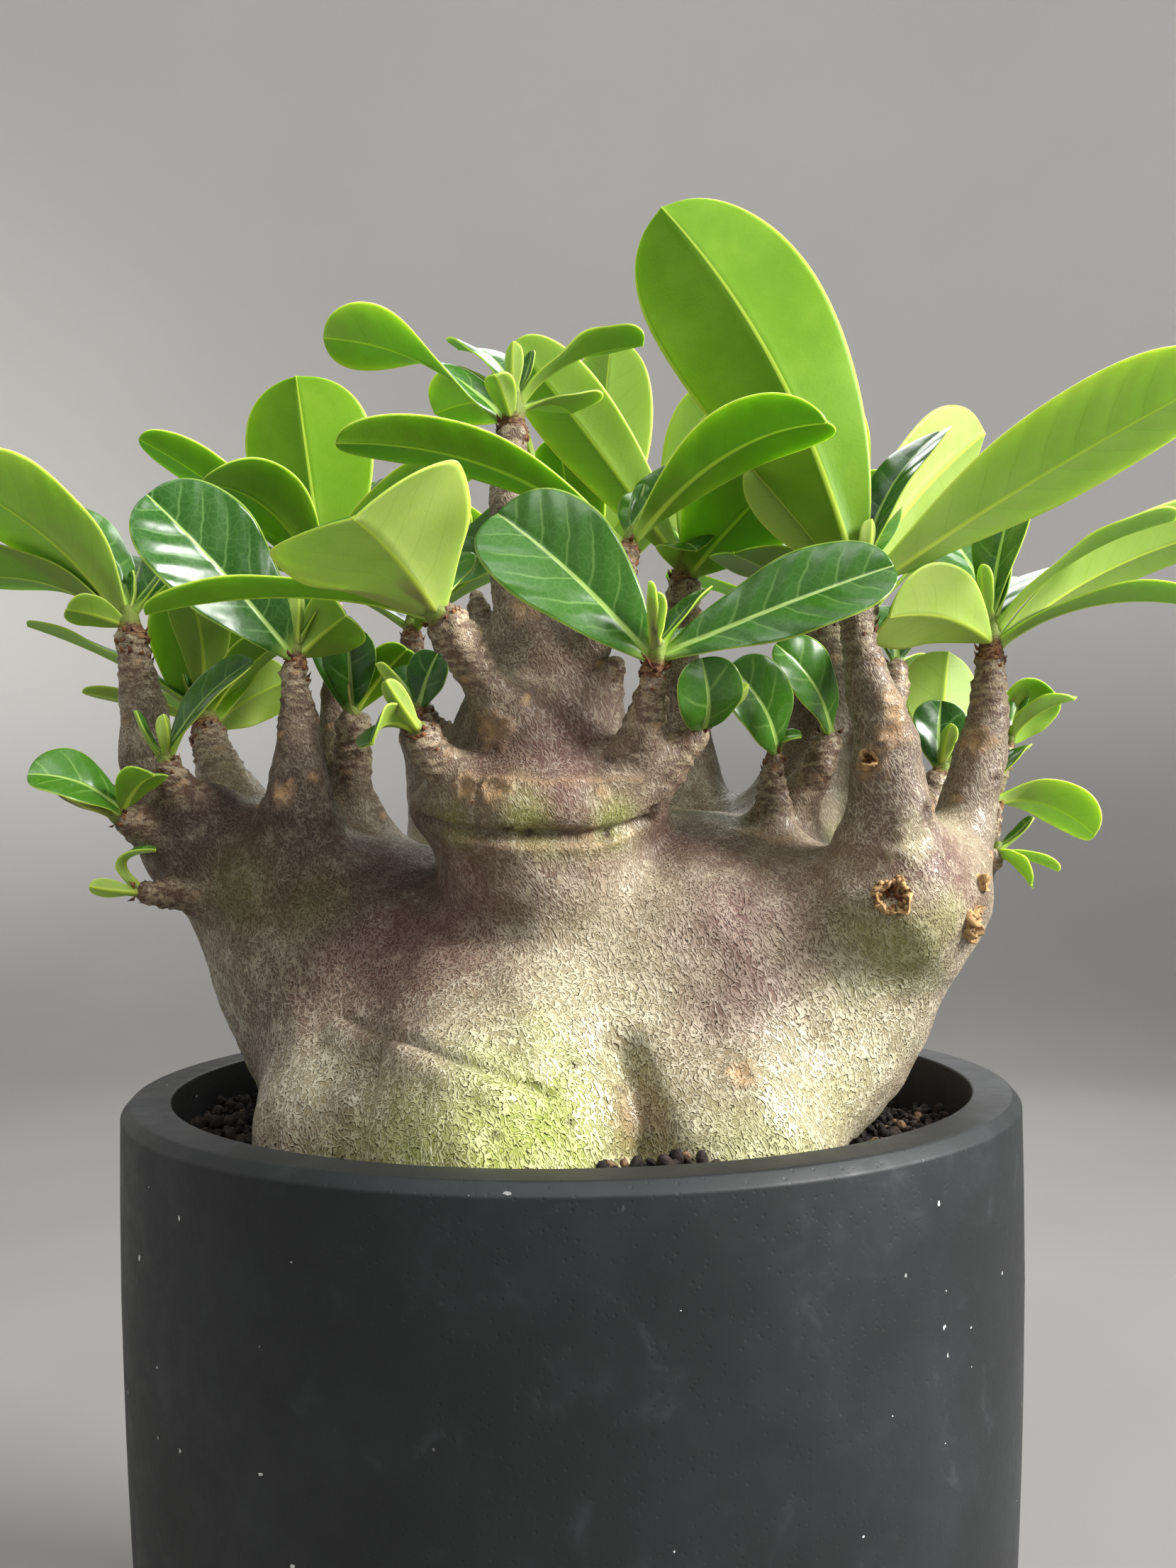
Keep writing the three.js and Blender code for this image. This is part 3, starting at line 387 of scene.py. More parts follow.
# Of each limb: how far it melts in, then its points from root to tip, each with the radius there
LIMBS = {
    "left arm": (12, [(-42, -2, 22, 20), (-57, -3, 36, 15), (-67, -4, 43, 11.5)]),
    "right arm": (12, [(42, -20, 14, 18), (54, -27, 28, 13), (58, -29, 36, 10.5)]),
    "tower": (5, [(-4, -26, 40, 18), (-4.4, -26, 50, 18.5), (-4.3, -26, 56, 16.5), (-4, -26, 61, 14.6),
                  (-4.2, -26, 68, 12), (-4.8, -25.5, 74, 9.5), (-6, -25, 80, 7.2), (-6.6, -25, 85, 6.1),
                  (-8.8, -25, 92, 4.6), (-9.8, -26, 103, 3.6), (-9, -27, 113, 2.8)]),
    "left outer": (6, [(-72, -5, 46, 8), (-76.9, -5, 52, 6), (-79.6, -5, 59, 4.4), (-80, -5, 68, 4.2),
                       (-80.7, -6, 76, 3.6), (-81.8, -6, 82, 2.9)]),
    "left inner": (7, [(-49, -13, 40, 10), (-48.9, -14, 47, 7.8), (-48.9, -15, 55, 5.4),
                       (-48.4, -15, 62, 4), (-48.6, -15, 68, 3), (-49, -15, 75, 2.2)]),
    "left back": (7, [(-66, 12, 48, 9), (-71, 14, 57, 5.5), (-74, 16, 66, 3.6)]),
    "left rear": (7, [(-47, 6, 42, 9), (-47, 8, 53, 5.6), (-47, 10, 65, 3.6), (-47, 13, 80, 3),
                      (-50, 17, 94, 2.4)]),
    "left low rear": (4, [(-40, 3, 44, 7), (-41.5, 1, 56, 4), (-41.5, -1, 66, 2.6)]),
    "front left twig": (4, [(-5, -34, 60, 8), (-9.4, -40, 64.5, 5.6), (-13, -44, 69.6, 4),
                            (-15.9, -48, 74, 3.2), (-17.6, -50, 76, 2.8)]),
    "low left spur": (4, [(-12, -34, 50, 6), (-16, -38, 52, 4), (-20.5, -42, 57, 2.7),
                          (-22, -44, 59.5, 2.1)]),
    "tower left twig": (4, [(-16, -24, 56, 5), (-21.5, -22, 60, 3), (-25, -22, 65.5, 1.9)]),
    "front right twig": (4, [(6, -34, 50, 7), (9.2, -38, 54, 4.6), (12, -42, 60, 3.2), (13.1, -44, 65, 2.6),
                             (13.8, -46, 69, 2.2)]),
    "low right spur": (4, [(10, -32, 49, 5), (13.8, -36, 52, 3.6), (17.2, -38, 56.4, 2.6),
                           (20.5, -38, 60, 2)]),
    "tower side twig": (3, [(-1, -29, 67, 6), (1.3, -32, 71, 3.5), (4.9, -35, 76, 2.7), (8, -36, 83, 2.3),
                            (10, -35, 90, 2)]),
    "dry bud": (2.5, [(4, -26, 64, 4), (6.5, -28, 68, 2.6), (8.5, -30, 73, 1.6)]),
    "withered bud": (3, [(-11, -24, 70, 5), (-13.8, -21, 76, 3.4), (-15.2, -19, 83, 2.3),
                         (-16.5, -17, 88, 1.3)]),
    "front spur": (4, [(35, -20, 40, 7), (35.1, -22, 46.5, 4), (35.2, -24, 52.5, 2.3),
                       (35.5, -24, 56.5, 1.8)]),
    "right spur": (4, [(39, -10, 46, 6), (41.8, -14, 51.7, 3.8), (44.7, -16, 56.7, 2.5), (46, -16, 60.5, 2)]),
    "right rear": (9, [(42, 6, 40, 15), (47, 8, 51.5, 11.5), (50.4, 10, 63, 7.6), (51.4, 10, 76, 5.4),
                       (51.7, 10, 89, 4)]),
    "middle rear": (8, [(22, 15, 42, 13), (21, 17, 57, 9.6), (21.5, 18, 70, 6.6), (22, 15, 84, 4.2),
                        (23, 11, 95, 2.8)]),
    "right front": (7, [(52.5, -35, 34, 11), (52.1, -36, 41, 8.4), (51.8, -38, 47, 6.8), (51.4, -39, 53, 5.9),
                        (51, -40, 58, 5.1), (48.2, -41, 68, 3.7), (46.9, -42, 75, 2.8),
                        (47.1, -42, 79.5, 2.5)]),
    "right outer": (6, [(62, -26, 34, 9), (65.9, -24, 40, 6.6), (69.2, -22, 47.3, 5.1), (72, -22, 58.4, 4.1),
                        (73.1, -23, 65.7, 3.1), (73.3, -24, 74, 2.3)]),
    "right front twig": (3, [(51, -36, 58, 4), (54, -31.5, 65, 2.5), (55.5, -29, 71, 1.8)]),
    "back fork": (9, [(8, 36, 36, 13), (8, 40, 52, 8), (6, 43, 66, 5), (4, 44, 80, 3.4), (3, 45, 93, 2.6)]),
    "back left fork": (9, [(-24, 34, 38, 12), (-30, 39, 52, 7), (-34, 42, 66, 4.6), (-36, 42, 80, 3.2),
                           (-36, 41, 90, 2.5)]),
    "back right fork": (8, [(40, 26, 36, 11), (50, 33, 50, 6.4), (56, 37, 63, 4.2), (58, 38, 77, 3)]),
    "crotch spur": (4, [(60, -10, 38, 7), (65, -8, 47, 3.6), (68, -8, 54, 2.2)]),
    "upper side spur": (5, [(66, 4, 34, 8), (78, 5, 46, 4), (82, 4, 54, 2.6), (84, 3, 60, 2)]),
    "lower side spur": (5, [(64, -2, 26, 8), (74, -4, 35, 4), (77.5, -5, 43, 2.5), (78.5, -5, 49, 2)]),
    "low side twig": (4, [(64, -5, 28, 7), (72.5, -8, 34, 3.2), (76.5, -9, 39.5, 1.8)]),
    "left low spur": (4, [(-68, -8, 42, 7), (-74.4, -12, 45.4, 3.4), (-78.8, -14, 48, 2.4)]),
    "left middle spur": (4, [(-64, -7, 44, 7), (-71, -11, 53, 3.4), (-72.5, -13, 58, 2.2)]),
    "left bent spur": (3, [(-64, -10, 34, 6), (-70.4, -14, 34.6, 2.6), (-75, -16, 35.4, 1.6)]),
}
TRUNK_DEPTH = -17.0
print(len(LOBES), "lobes,", len(LIMBS), "limbs")

# %% Distance to a lobe or a limb
TINY = 1e-6


def melt(near, far, blend):
    """The smaller of two distances, rounded off where they are alike."""
    if blend <= 0:
        return np.minimum(near, far)
    overlap = np.maximum(blend - np.abs(near - far), 0) / blend
    return np.minimum(near, far) - overlap * overlap * blend * 0.25


def lobe_distance(points, middle, half_axes):
    offset = points - np.array(middle, points.dtype)
    axes = np.array(half_axes, points.dtype)
    near = np.sqrt(((offset / axes) ** 2).sum(-1))
    steepness = np.sqrt(((offset / axes ** 2) ** 2).sum(-1))
    return near * (near - 1) / np.maximum(steepness, TINY)


def cone_distance(points, start, end):
    base = np.array(start[:3], points.dtype)
    reach = np.array(end[:3], points.dtype) - base
    share = np.clip((points - base) @ reach / (reach @ reach), 0, 1)
    gap = np.sqrt(((points - base - share[..., None] * reach) ** 2).sum(-1))
    return gap - (start[3] + share * (end[3] - start[3]))


def path_distance(points, path):
    best = cone_distance(points, path[0], path[1])
    for start, end in zip(path[1:-1], path[2:]):
        best = np.minimum(best, cone_distance(points, start, end))
    return best


print("1 mm off the middle of a 9 mm ball:", lobe_distance(np.array([[0.0, 0, 1]]), (0, 0, 0), (9, 9, 9))[0])

# %% Distance to the plant
SLOPE_STEP = 0.05


def plant_distance(points):
    value = np.full(points.shape[:-1], np.inf, points.dtype)
    for _, middle, half_axes, blend in LOBES:
        value = melt(value, lobe_distance(points, middle, half_axes), blend)
    for blend, path in LIMBS.values():
        value = melt(value, path_distance(points, path), blend)
    return np.maximum(value, TRUNK_DEPTH - points[..., 2])


def slope(points):
    """Distance at each point, and the direction in which it grows."""
    here = plant_distance(points)
    steps = SLOPE_STEP * np.eye(3)
    change = np.stack([plant_distance(points + step) - here for step in steps], 1) / SLOPE_STEP
    return here, change / np.maximum(np.linalg.norm(change, axis=1), TINY)[:, None]


print("distance at the core:", round(float(plant_distance(np.array([[-5.0, -4, 2]]))[0]), 1))

# %% [markdown]
# To turn the distance into a mesh, the space round the plant is cut into small cells. Each cell that
# the surface crosses gets one point, and each grid edge that it crosses gets a face between the four
# cells round it. This gives even quads that follow any shape. Only the neighbourhood of each lobe or
# limb is worked out, so millions of cells take a few seconds.

# %% Grid of distances
CELL = 1.4
GRID_LOW = np.array([-104.0, -90.0, -20.0])
GRID_HIGH = np.array([104.0, 90.0, 118.0])
FAR_AWAY = 60.0
CELL_MARGIN = 3 * CELL


def grid_distance():
    """Distance at every corner of the grid, worked out near each lobe and limb alone."""
    count = np.ceil((GRID_HIGH - GRID_LOW) / CELL).astype(int) + 1
    ticks = [(GRID_LOW[axis] + CELL * np.arange(count[axis])).astype(np.float32) for axis in range(3)]
    values = np.full(count, FAR_AWAY, np.float32)

    def press_in(distance, low, high, blend):
        start = np.maximum(((np.array(low) - blend - CELL_MARGIN - GRID_LOW) / CELL).astype(int), 0)
        stop = np.minimum(((np.array(high) + blend + CELL_MARGIN - GRID_LOW) / CELL).astype(int) + 2, count)
        part = tuple(slice(a, b) for a, b in zip(start, stop))
        points = np.stack(np.meshgrid(*[ticks[k][part[k]] for k in range(3)], indexing="ij"), -1)
        values[part] = melt(values[part], distance(points), blend)

    for _, middle, half_axes, blend in LOBES:
        low, high = np.subtract(middle, half_axes), np.add(middle, half_axes)
        press_in(lambda points: lobe_distance(points, middle, half_axes), low, high, blend)
    for blend, path in LIMBS.values():
        spots = np.array(path)
        thickest = spots[:, 3].max()
        low, high = spots[:, :3].min(0) - thickest, spots[:, :3].max(0) + thickest
        press_in(lambda points: path_distance(points, path), low, high, blend)
    return np.maximum(values, TRUNK_DEPTH - ticks[2][None, None, :])


distances = grid_distance()
print("cells:", distances.size)

# %% Where the surface crosses the grid
def crossings(values):
    """For each axis: the edges that the surface crosses, how far along, and which start inside."""
    found = []
    for axis in range(3):
        first = [slice(None)] * 3
        second = [slice(None)] * 3
        first[axis], second[axis] = slice(0, -1), slice(1, None)
        a, b = values[tuple(first)], values[tuple(second)]
        crossed = (a < 0) != (b < 0)
        share = np.where(crossed, a / np.where(crossed, a - b, 1), 0).astype(np.float32)
        found.append((crossed, share, a < 0))
    return found


edges_cut = crossings(distances)
print("edges cut:", [int(crossed.sum()) for crossed, _, _ in edges_cut])

# %% Surface of the grid
def surface_of(edges, shape, low, cell):
    """One point in each cell that the surface crosses, and one quad round each crossed edge."""
    shape = tuple(n - 1 for n in shape)
    count = np.zeros(shape, np.float32)
    total = np.zeros(shape + (3,), np.float32)
    for axis, (crossed, share, _) in enumerate(edges):
        others = [k for k in range(3) if k != axis]
        for a in (0, 1):
            for b in (0, 1):
                part = [slice(None)] * 3
                part[others[0]] = slice(a, shape[others[0]] + a)
                part[others[1]] = slice(b, shape[others[1]] + b)
                hit = crossed[tuple(part)].astype(np.float32)
                count += hit
                total[..., axis] += share[tuple(part)]
                total[..., others[0]] += hit * a
                total[..., others[1]] += hit * b
    active = count > 0
    number = np.full(shape, -1)
    number[active] = np.arange(int(active.sum()))
    points = (np.argwhere(active) + total[active] / count[active][:, None]) * cell + low
    faces = []
    for axis, (crossed, _, inside) in enumerate(edges):
        others = [k for k in range(3) if k != axis]
        inner = [slice(None)] * 3
        inner[others[0]] = inner[others[1]] = slice(1, -1)
        spots = np.argwhere(crossed[tuple(inner)])
        spots[:, others] += 1
        corners = []
        for a, b in ((1, 1), (0, 1), (0, 0), (1, 0)):
            cell_spot = spots.copy()
            cell_spot[:, others[0]] -= a
            cell_spot[:, others[1]] -= b
            corners.append(number[tuple(cell_spot.T)])
        quads = np.stack(corners, 1)
        outward = inside[tuple(spots.T)]
        if axis == 1:
            outward = ~outward
        quads[~outward] = quads[~outward][:, ::-1]
        faces.append(quads)
    return points, np.concatenate(faces)


bark_points, bark_faces = surface_of(edges_cut, distances.shape, GRID_LOW, CELL)
del distances, edges_cut
print("first surface:", len(bark_points), "points,", len(bark_faces), "quads")

# %% [markdown]
# Marks of the plant's life sit on the bark: scars where leaves dropped, pits, folds and creases. The
# ones that show in front are listed by place; the small leaf scars that circle every branch follow a
# rule, one every few millimetres, turned by the golden angle like the leaves that left them. Where
# marks are, the mesh is cut finer, so that they come from real shape.

# %% Marks on the bark
# Of each scar: its kind, its place and its radius
SCARS = [
    ("tan", (25.4, -52.2, 8.5), 2.3), ("tan", (-15.6, -44.3, 51.8), 2.0), ("tan", (-10.7, -46.2, 51.2), 2.1),
    ("pit", (-9.0, -45.6, 44.9), 1.2), ("pit", (-5.9, -45.5, 44.0), 1.0), ("tan", (4.0, -43.9, 44.3), 1.3),
    ("pit", (6.9, -42.0, 43.8), 1.2), ("pit", (14.0, -39.1, 48.1), 1.1), ("tan", (6.0, -44.5, 50.7), 1.1),
    ("pit", (6.6, -42.6, 56.1), 1.1), ("tan", (-11.4, -43.7, 60.6), 2.8), ("tan", (-6.9, -31.8, 82.2), 2.6),
    ("tan", (47.6, -43.6, 55.0), 2.5), ("tan", (50.5, -45.0, 59.4), 2.2), ("tan", (50.7, -44.8, 62.4), 1.8),
    ("tan", (50.6, -44.5, 65.2), 1.7), ("pit", (55.9, -43.5, 47.2), 1.4), ("pale", (54.1, -44.1, 42.2), 3.2),
    ("pale", (53.6, -44.4, 45.4), 2.4), ("tan", (69.8, -25.3, 59.9), 2.2), ("pit", (73.0, -26.0, 53.2), 1.4),
    ("pale", (-3.6, -55.8, 10.5), 2.0), ("pit", (1.1, -53.7, 10.6), 0.7), ("pit", (0.4, -58.2, 2.9), 0.8),
    ("pit", (8.2, -52.5, 7.3), 0.8), ("pit", (-9.9, -61.8, 2.3), 0.7), ("tan", (-49.8, -20.6, 52.4), 1.8),
    ("tan", (-22.0, 56.0, 20.0), 2.4), ("tan", (34.0, 44.0, 26.0), 2.2), ("pit", (10.0, 58.0, 8.0), 1.3),
]
# Of each crease: the points it runs through, its width and its height, below zero for a groove
CREASES = [
    ([(-36.7, -36.3, 16.1), (-27, -46, 13.8), (-17.6, -54.9, 12.0), (-9, -57, 9), (-2.1, -57.6, 6.8)],
     0.75, -0.85),
    ([(-36, -38, 13.2), (-27, -48, 11), (-17.6, -56.4, 9.2), (-10, -58.5, 6.6)], 2.6, 0.6),
    ([(-16, -44.4, 52.9), (-3.1, -46.5, 52.2), (4.6, -44.3, 52.6), (11, -41, 53)], 0.8, 0.35),
    ([(-24, -36, 47), (-14, -44, 44.6), (-4, -46, 43.6), (6, -43, 44), (14, -38, 46)], 1.1, -1.7),
    ([(-20, -40, 44), (-14, -44, 42.8), (-4, -46, 41.8), (6, -43, 42.2), (12, -40, 43.6)], 0.8, 0.38),
    ([(-31.3, -46, 10), (-32.3, -50, 4), (-32.3, -50.4, -3), (-32, -49, -12)], 3.2, -3.2),
    ([(8.5, -50, 12), (9.5, -52, 9), (11.2, -54.2, 2), (11.6, -55, -6)], 2.8, -3.0),
    ([(29.5, -26, 50.6), (35, -29.5, 49.2), (40.5, -26, 49.8)], 0.9, 0.45),
    ([(28.5, -28, 47.8), (35, -32, 46), (41.5, -28, 46.6)], 0.9, 0.35),
]
print(len(SCARS), "single scars,", len(CREASES), "creases")

# %% Waves and places on the limbs
WAVES = 8
WAVE_SHARE = 2.8
NO_LIMB = 99.0


def wander(points, size, seed):
    """Smooth noise, mostly between -1 and 1, as a sum of waves in many directions."""
    random = np.random.default_rng(seed)
    total = np.zeros(len(points))
    for _ in range(WAVES):
        direction = random.normal(size=3)
        direction /= np.linalg.norm(direction) * size * random.uniform(0.7, 1.5)
        total += np.sin(points @ direction * 2 * np.pi + random.uniform(0, 2 * np.pi))
    return total / WAVE_SHARE


def limb_place(points):
    """For each point: gap to the nearest limb's bark, distance from that limb's tip, and its radius."""
    gap = np.full(len(points), np.inf)
    from_tip = np.full(len(points), NO_LIMB)
    thick = np.full(len(points), NO_LIMB)
    for _, path in LIMBS.values():
        walked = 0.0
        for end, start in zip(path[::-1], path[-2::-1]):
            base, reach = np.array(end[:3], float), np.subtract(start[:3], end[:3])
            length = np.linalg.norm(reach)
            share = np.clip((points - base) @ reach / length ** 2, 0, 1)
            radius = end[3] + share * (start[3] - end[3])
            away = np.linalg.norm(points - base - share[:, None] * reach, axis=1) - radius
            closer = away < gap
            gap[closer] = away[closer]
            from_tip[closer] = (walked + share * length)[closer]
            thick[closer] = radius[closer]
            walked += length
    return gap, from_tip, thick


print("usual height of the waves:", round(float(np.abs(wander(bark_points, 19, 1)).mean()), 2))

# %% Leaf scars round the branches
GOLDEN_ANGLE = math.radians(137.5)
SCAR_STEP = 2.3
FIRST_SCAR = 0.6
THICKEST_WITH_SCARS = 7.5
BARE_LIMBS = ("left arm", "right arm", "dry bud", "withered bud")


def ring_scars():
    """Places of the old leaf scars on all limbs, with the way up the limb."""
    spots = []
    random = np.random.default_rng(5)
    for name, (_, path) in LIMBS.items():
        if name in BARE_LIMBS:
            continue
        walked, turn = FIRST_SCAR, random.uniform(0, 6)
        tip_to_root = path[::-1]
        for end, start in zip(tip_to_root[:-1], tip_to_root[1:]):
            base, reach = np.array(end[:3], float), np.subtract(start[:3], end[:3])
            length = np.linalg.norm(reach)
            way = reach / length
            side = np.cross(way, (0, 1, 0))
            side /= np.linalg.norm(side)
            other = np.cross(way, side)
            while walked < length:
                share = walked / length
                radius = end[3] + share * (start[3] - end[3])
                if radius < THICKEST_WITH_SCARS:
                    out = math.cos(turn) * side + math.sin(turn) * other
                    spots.append((base + walked * way + out * radius, -way, 0.75 + 0.12 * radius))
                walked += SCAR_STEP * random.uniform(0.7, 1.3) * (1 + radius / 5)
                turn += GOLDEN_ANGLE
            walked -= length
    return spots


leaf_scars = ring_scars()
print(len(leaf_scars), "leaf scars")

# %% Creases laid on the bark
CREASE_STEPS = 4
CREASE_PASSES = 4


def laid_on_bark(path):
    """The path of a crease with points between, all moved onto the bark."""
    path = np.array(path, float)
    shares = np.linspace(0, len(path) - 1, CREASE_STEPS * (len(path) - 1) + 1)
    line = np.stack([np.interp(shares, np.arange(len(path)), path[:, axis]) for axis in range(3)], 1)
    for _ in range(CREASE_PASSES):
        distance, outward = slope(line)
        line = line - distance[:, None] * outward
    return line


def near_crease(points, line):
    return path_distance(points, [(*spot, 0.0) for spot in line])


CREASE_LINES = [(laid_on_bark(path), width, lift) for path, width, lift in CREASES]
print("creases laid on the bark:", len(CREASE_LINES))

# %% Finer mesh where the detail is
FINE_LIMB_RADIUS = 9.0
LIMB_REACH = 1.5


def wants_detail(points):
    gap, _, thick = limb_place(points)
    fine = (gap < LIMB_REACH) & (thick < FINE_LIMB_RADIUS)
    for _, place, radius in SCARS:
        fine |= np.linalg.norm(points - np.array(place), axis=1) < radius * 2
    for line, width, _ in CREASE_LINES:
        fine |= near_crease(points, line) < width * 2
    return fine


def refine(points, faces):
    """Splits the quads in the finer region in four."""
    fine = wants_detail(points)
    work = bmesh.new()
    verts = [work.verts.new(point) for point in points]
    for face in faces.tolist():
        work.faces.new([verts[k] for k in face])
    work.verts.index_update()
    edges = [edge for edge in work.edges if fine[edge.verts[0].index] and fine[edge.verts[1].index]]
    bmesh.ops.subdivide_edges(work, edges=edges, cuts=1, use_grid_fill=True)
    work.verts.index_update()
    new_points = np.array([vert.co[:] for vert in work.verts], float)
    new_faces = [[vert.index for vert in face.verts] for face in work.faces]
    work.free()
    return new_points, new_faces


bark_points, bark_faces = refine(bark_points, bark_faces)
print("finer surface:", len(bark_points), "points", sum(len(face) - 2 for face in bark_faces), "triangles")

# %% [markdown]
# The grid leaves small steps. Each point is now moved onto the true surface along the slope of the
# distance, which is also the direction outwards. Then it is moved in or out by the height of the
# marks. A bell curve round each mark gives a rim, a hollow or a groove with soft edges, and says at
# the same time where the mark's own colour goes. Narrow grooves also get the dark brown of the pits,
# which is painted shade in the groove.

# %% Relief of scars and creases
SWELLS, LUMPS = (0.45, 19), (0.16, 6.5)
RAGGED_EDGE = (0.22, 1.9)
RIM_LIFT = {"pit": 0.25, "tan": 0.5}
PALE_LIFT = 0.3
LOW_RIDGE = 0.4
NARROW = 2


def bell(away, width=1.0):
    return np.exp(-(away / width) ** 2)


def mark_relief(points):
    """Height of all marks, and how much of each kind of colour they bring."""
    height = SWELLS[0] * wander(points, SWELLS[1], 1) + LUMPS[0] * wander(points, LUMPS[1], 2)
    colour = {kind: np.zeros(len(points)) for kind in ("tan", "pit", "pale")}
    ragged = 1 + RAGGED_EDGE[0] * wander(points, RAGGED_EDGE[1], 3)
    for kind, place, radius in SCARS:
        away = np.linalg.norm(points - np.array(place), axis=1) * ragged / radius
        rim, middle = bell(away - 0.85, 0.28), bell(away, 0.55)
        if kind == "pit":
            height += RIM_LIFT[kind] * rim - 0.6 * middle * min(radius, 1.2)
        elif kind == "tan":
            height += RIM_LIFT[kind] * rim - 0.25 * middle
        else:
            height += PALE_LIFT * (away < 1.1)
        colour[kind] = np.maximum(colour[kind], np.clip(1.4 - away, 0, 1))
    for line, width, lift in CREASE_LINES:
        away = near_crease(points, line) / width
        height += lift * bell(away)
        if 0 < lift < LOW_RIDGE:
            colour["tan"] = np.maximum(colour["tan"], 0.45 * bell(1.4 * away))
        # Narrow grooves get the dark brown of the pits: painted shade in the groove
        if lift < 0 and width < NARROW:
            colour["pit"] = np.maximum(colour["pit"], 0.3 * bell(1.3 * away))
    return height, colour


print("a bell curve halves at", round(math.sqrt(math.log(2)), 2), "of its width")

# %% Relief of leaf scars and rings
RING_GAP = 2.1
RING_FADE = 3


def scar_relief(points, height, tan, pit):
    """Adds the leaf scars: a raised pad with a ledge above it."""
    for place, up, radius in leaf_scars:
        offset = points - place
        close = (np.abs(offset) < 2.6 * radius).all(1)
        if not close.any():
            continue
        part = offset[close]
        rise = part @ up
        around = np.sqrt(np.maximum((part ** 2).sum(1) - rise ** 2, 0)) / (1.25 * radius)
        oval = np.sqrt(around ** 2 + (rise / (0.8 * radius)) ** 2)
        pad = np.exp(-(oval / 0.75) ** 4)
        ledge = bell(rise / radius - 0.75, 0.28) * bell(around)
        height[close] += 0.34 * radius * (0.55 * pad + 0.6 * ledge)
        tan[close] = np.maximum(tan[close], 0.9 * pad)
        pit[close] = np.maximum(pit[close], 0.85 * ledge)


def limb_rings(points, height, from_tip, thick, gap):
    """Raises fine rings of bark, strongest near the tips, and tells how much each point is on a limb."""
    on_limb = np.clip(1 - gap / 1.2, 0, 1) * np.clip((FINE_LIMB_RADIUS - thick) / RING_FADE, 0, 1)
    waved = from_tip + 0.7 * wander(points, 5, 6)
    ring = (0.5 + 0.5 * np.cos(2 * np.pi * waved / RING_GAP)) ** 2
    ragged = np.clip(0.75 + 0.5 * wander(points, 2.6, 7), 0, 1.3)
    height += on_limb * ragged * ring * (0.2 * np.exp(-from_tip / 24) + 0.4 * bell(from_tip, 9))
    return on_limb


print("rings every", RING_GAP, "mm")

# %% Settle the points and raise the marks
SETTLE_PASSES = 2
TIP_REACH = 11


def settle(points):
    """Moves the points onto the plant, raises the marks, and tells what each point carries."""
    for _ in range(SETTLE_PASSES):
        distance, outward = slope(points)
        points = points - np.clip(distance, -1, 1)[:, None] * outward
    gap, from_tip, thick = limb_place(points)
    height, colour = mark_relief(points)
    on_limb = limb_rings(points, height, from_tip, thick, gap)
    scar_relief(points, height, colour["tan"], colour["pit"])
    height[points[:, 2] < TRUNK_DEPTH + 1] = 0
    marks = {**colour, "limb": on_limb, "near_tip": on_limb * bell(from_tip, TIP_REACH)}
    return points + height[:, None] * outward, marks


bark_points, bark_marks = settle(bark_points)
print("highest bark at", round(float(bark_points[:, 2].max()), 1), "mm above the rim")
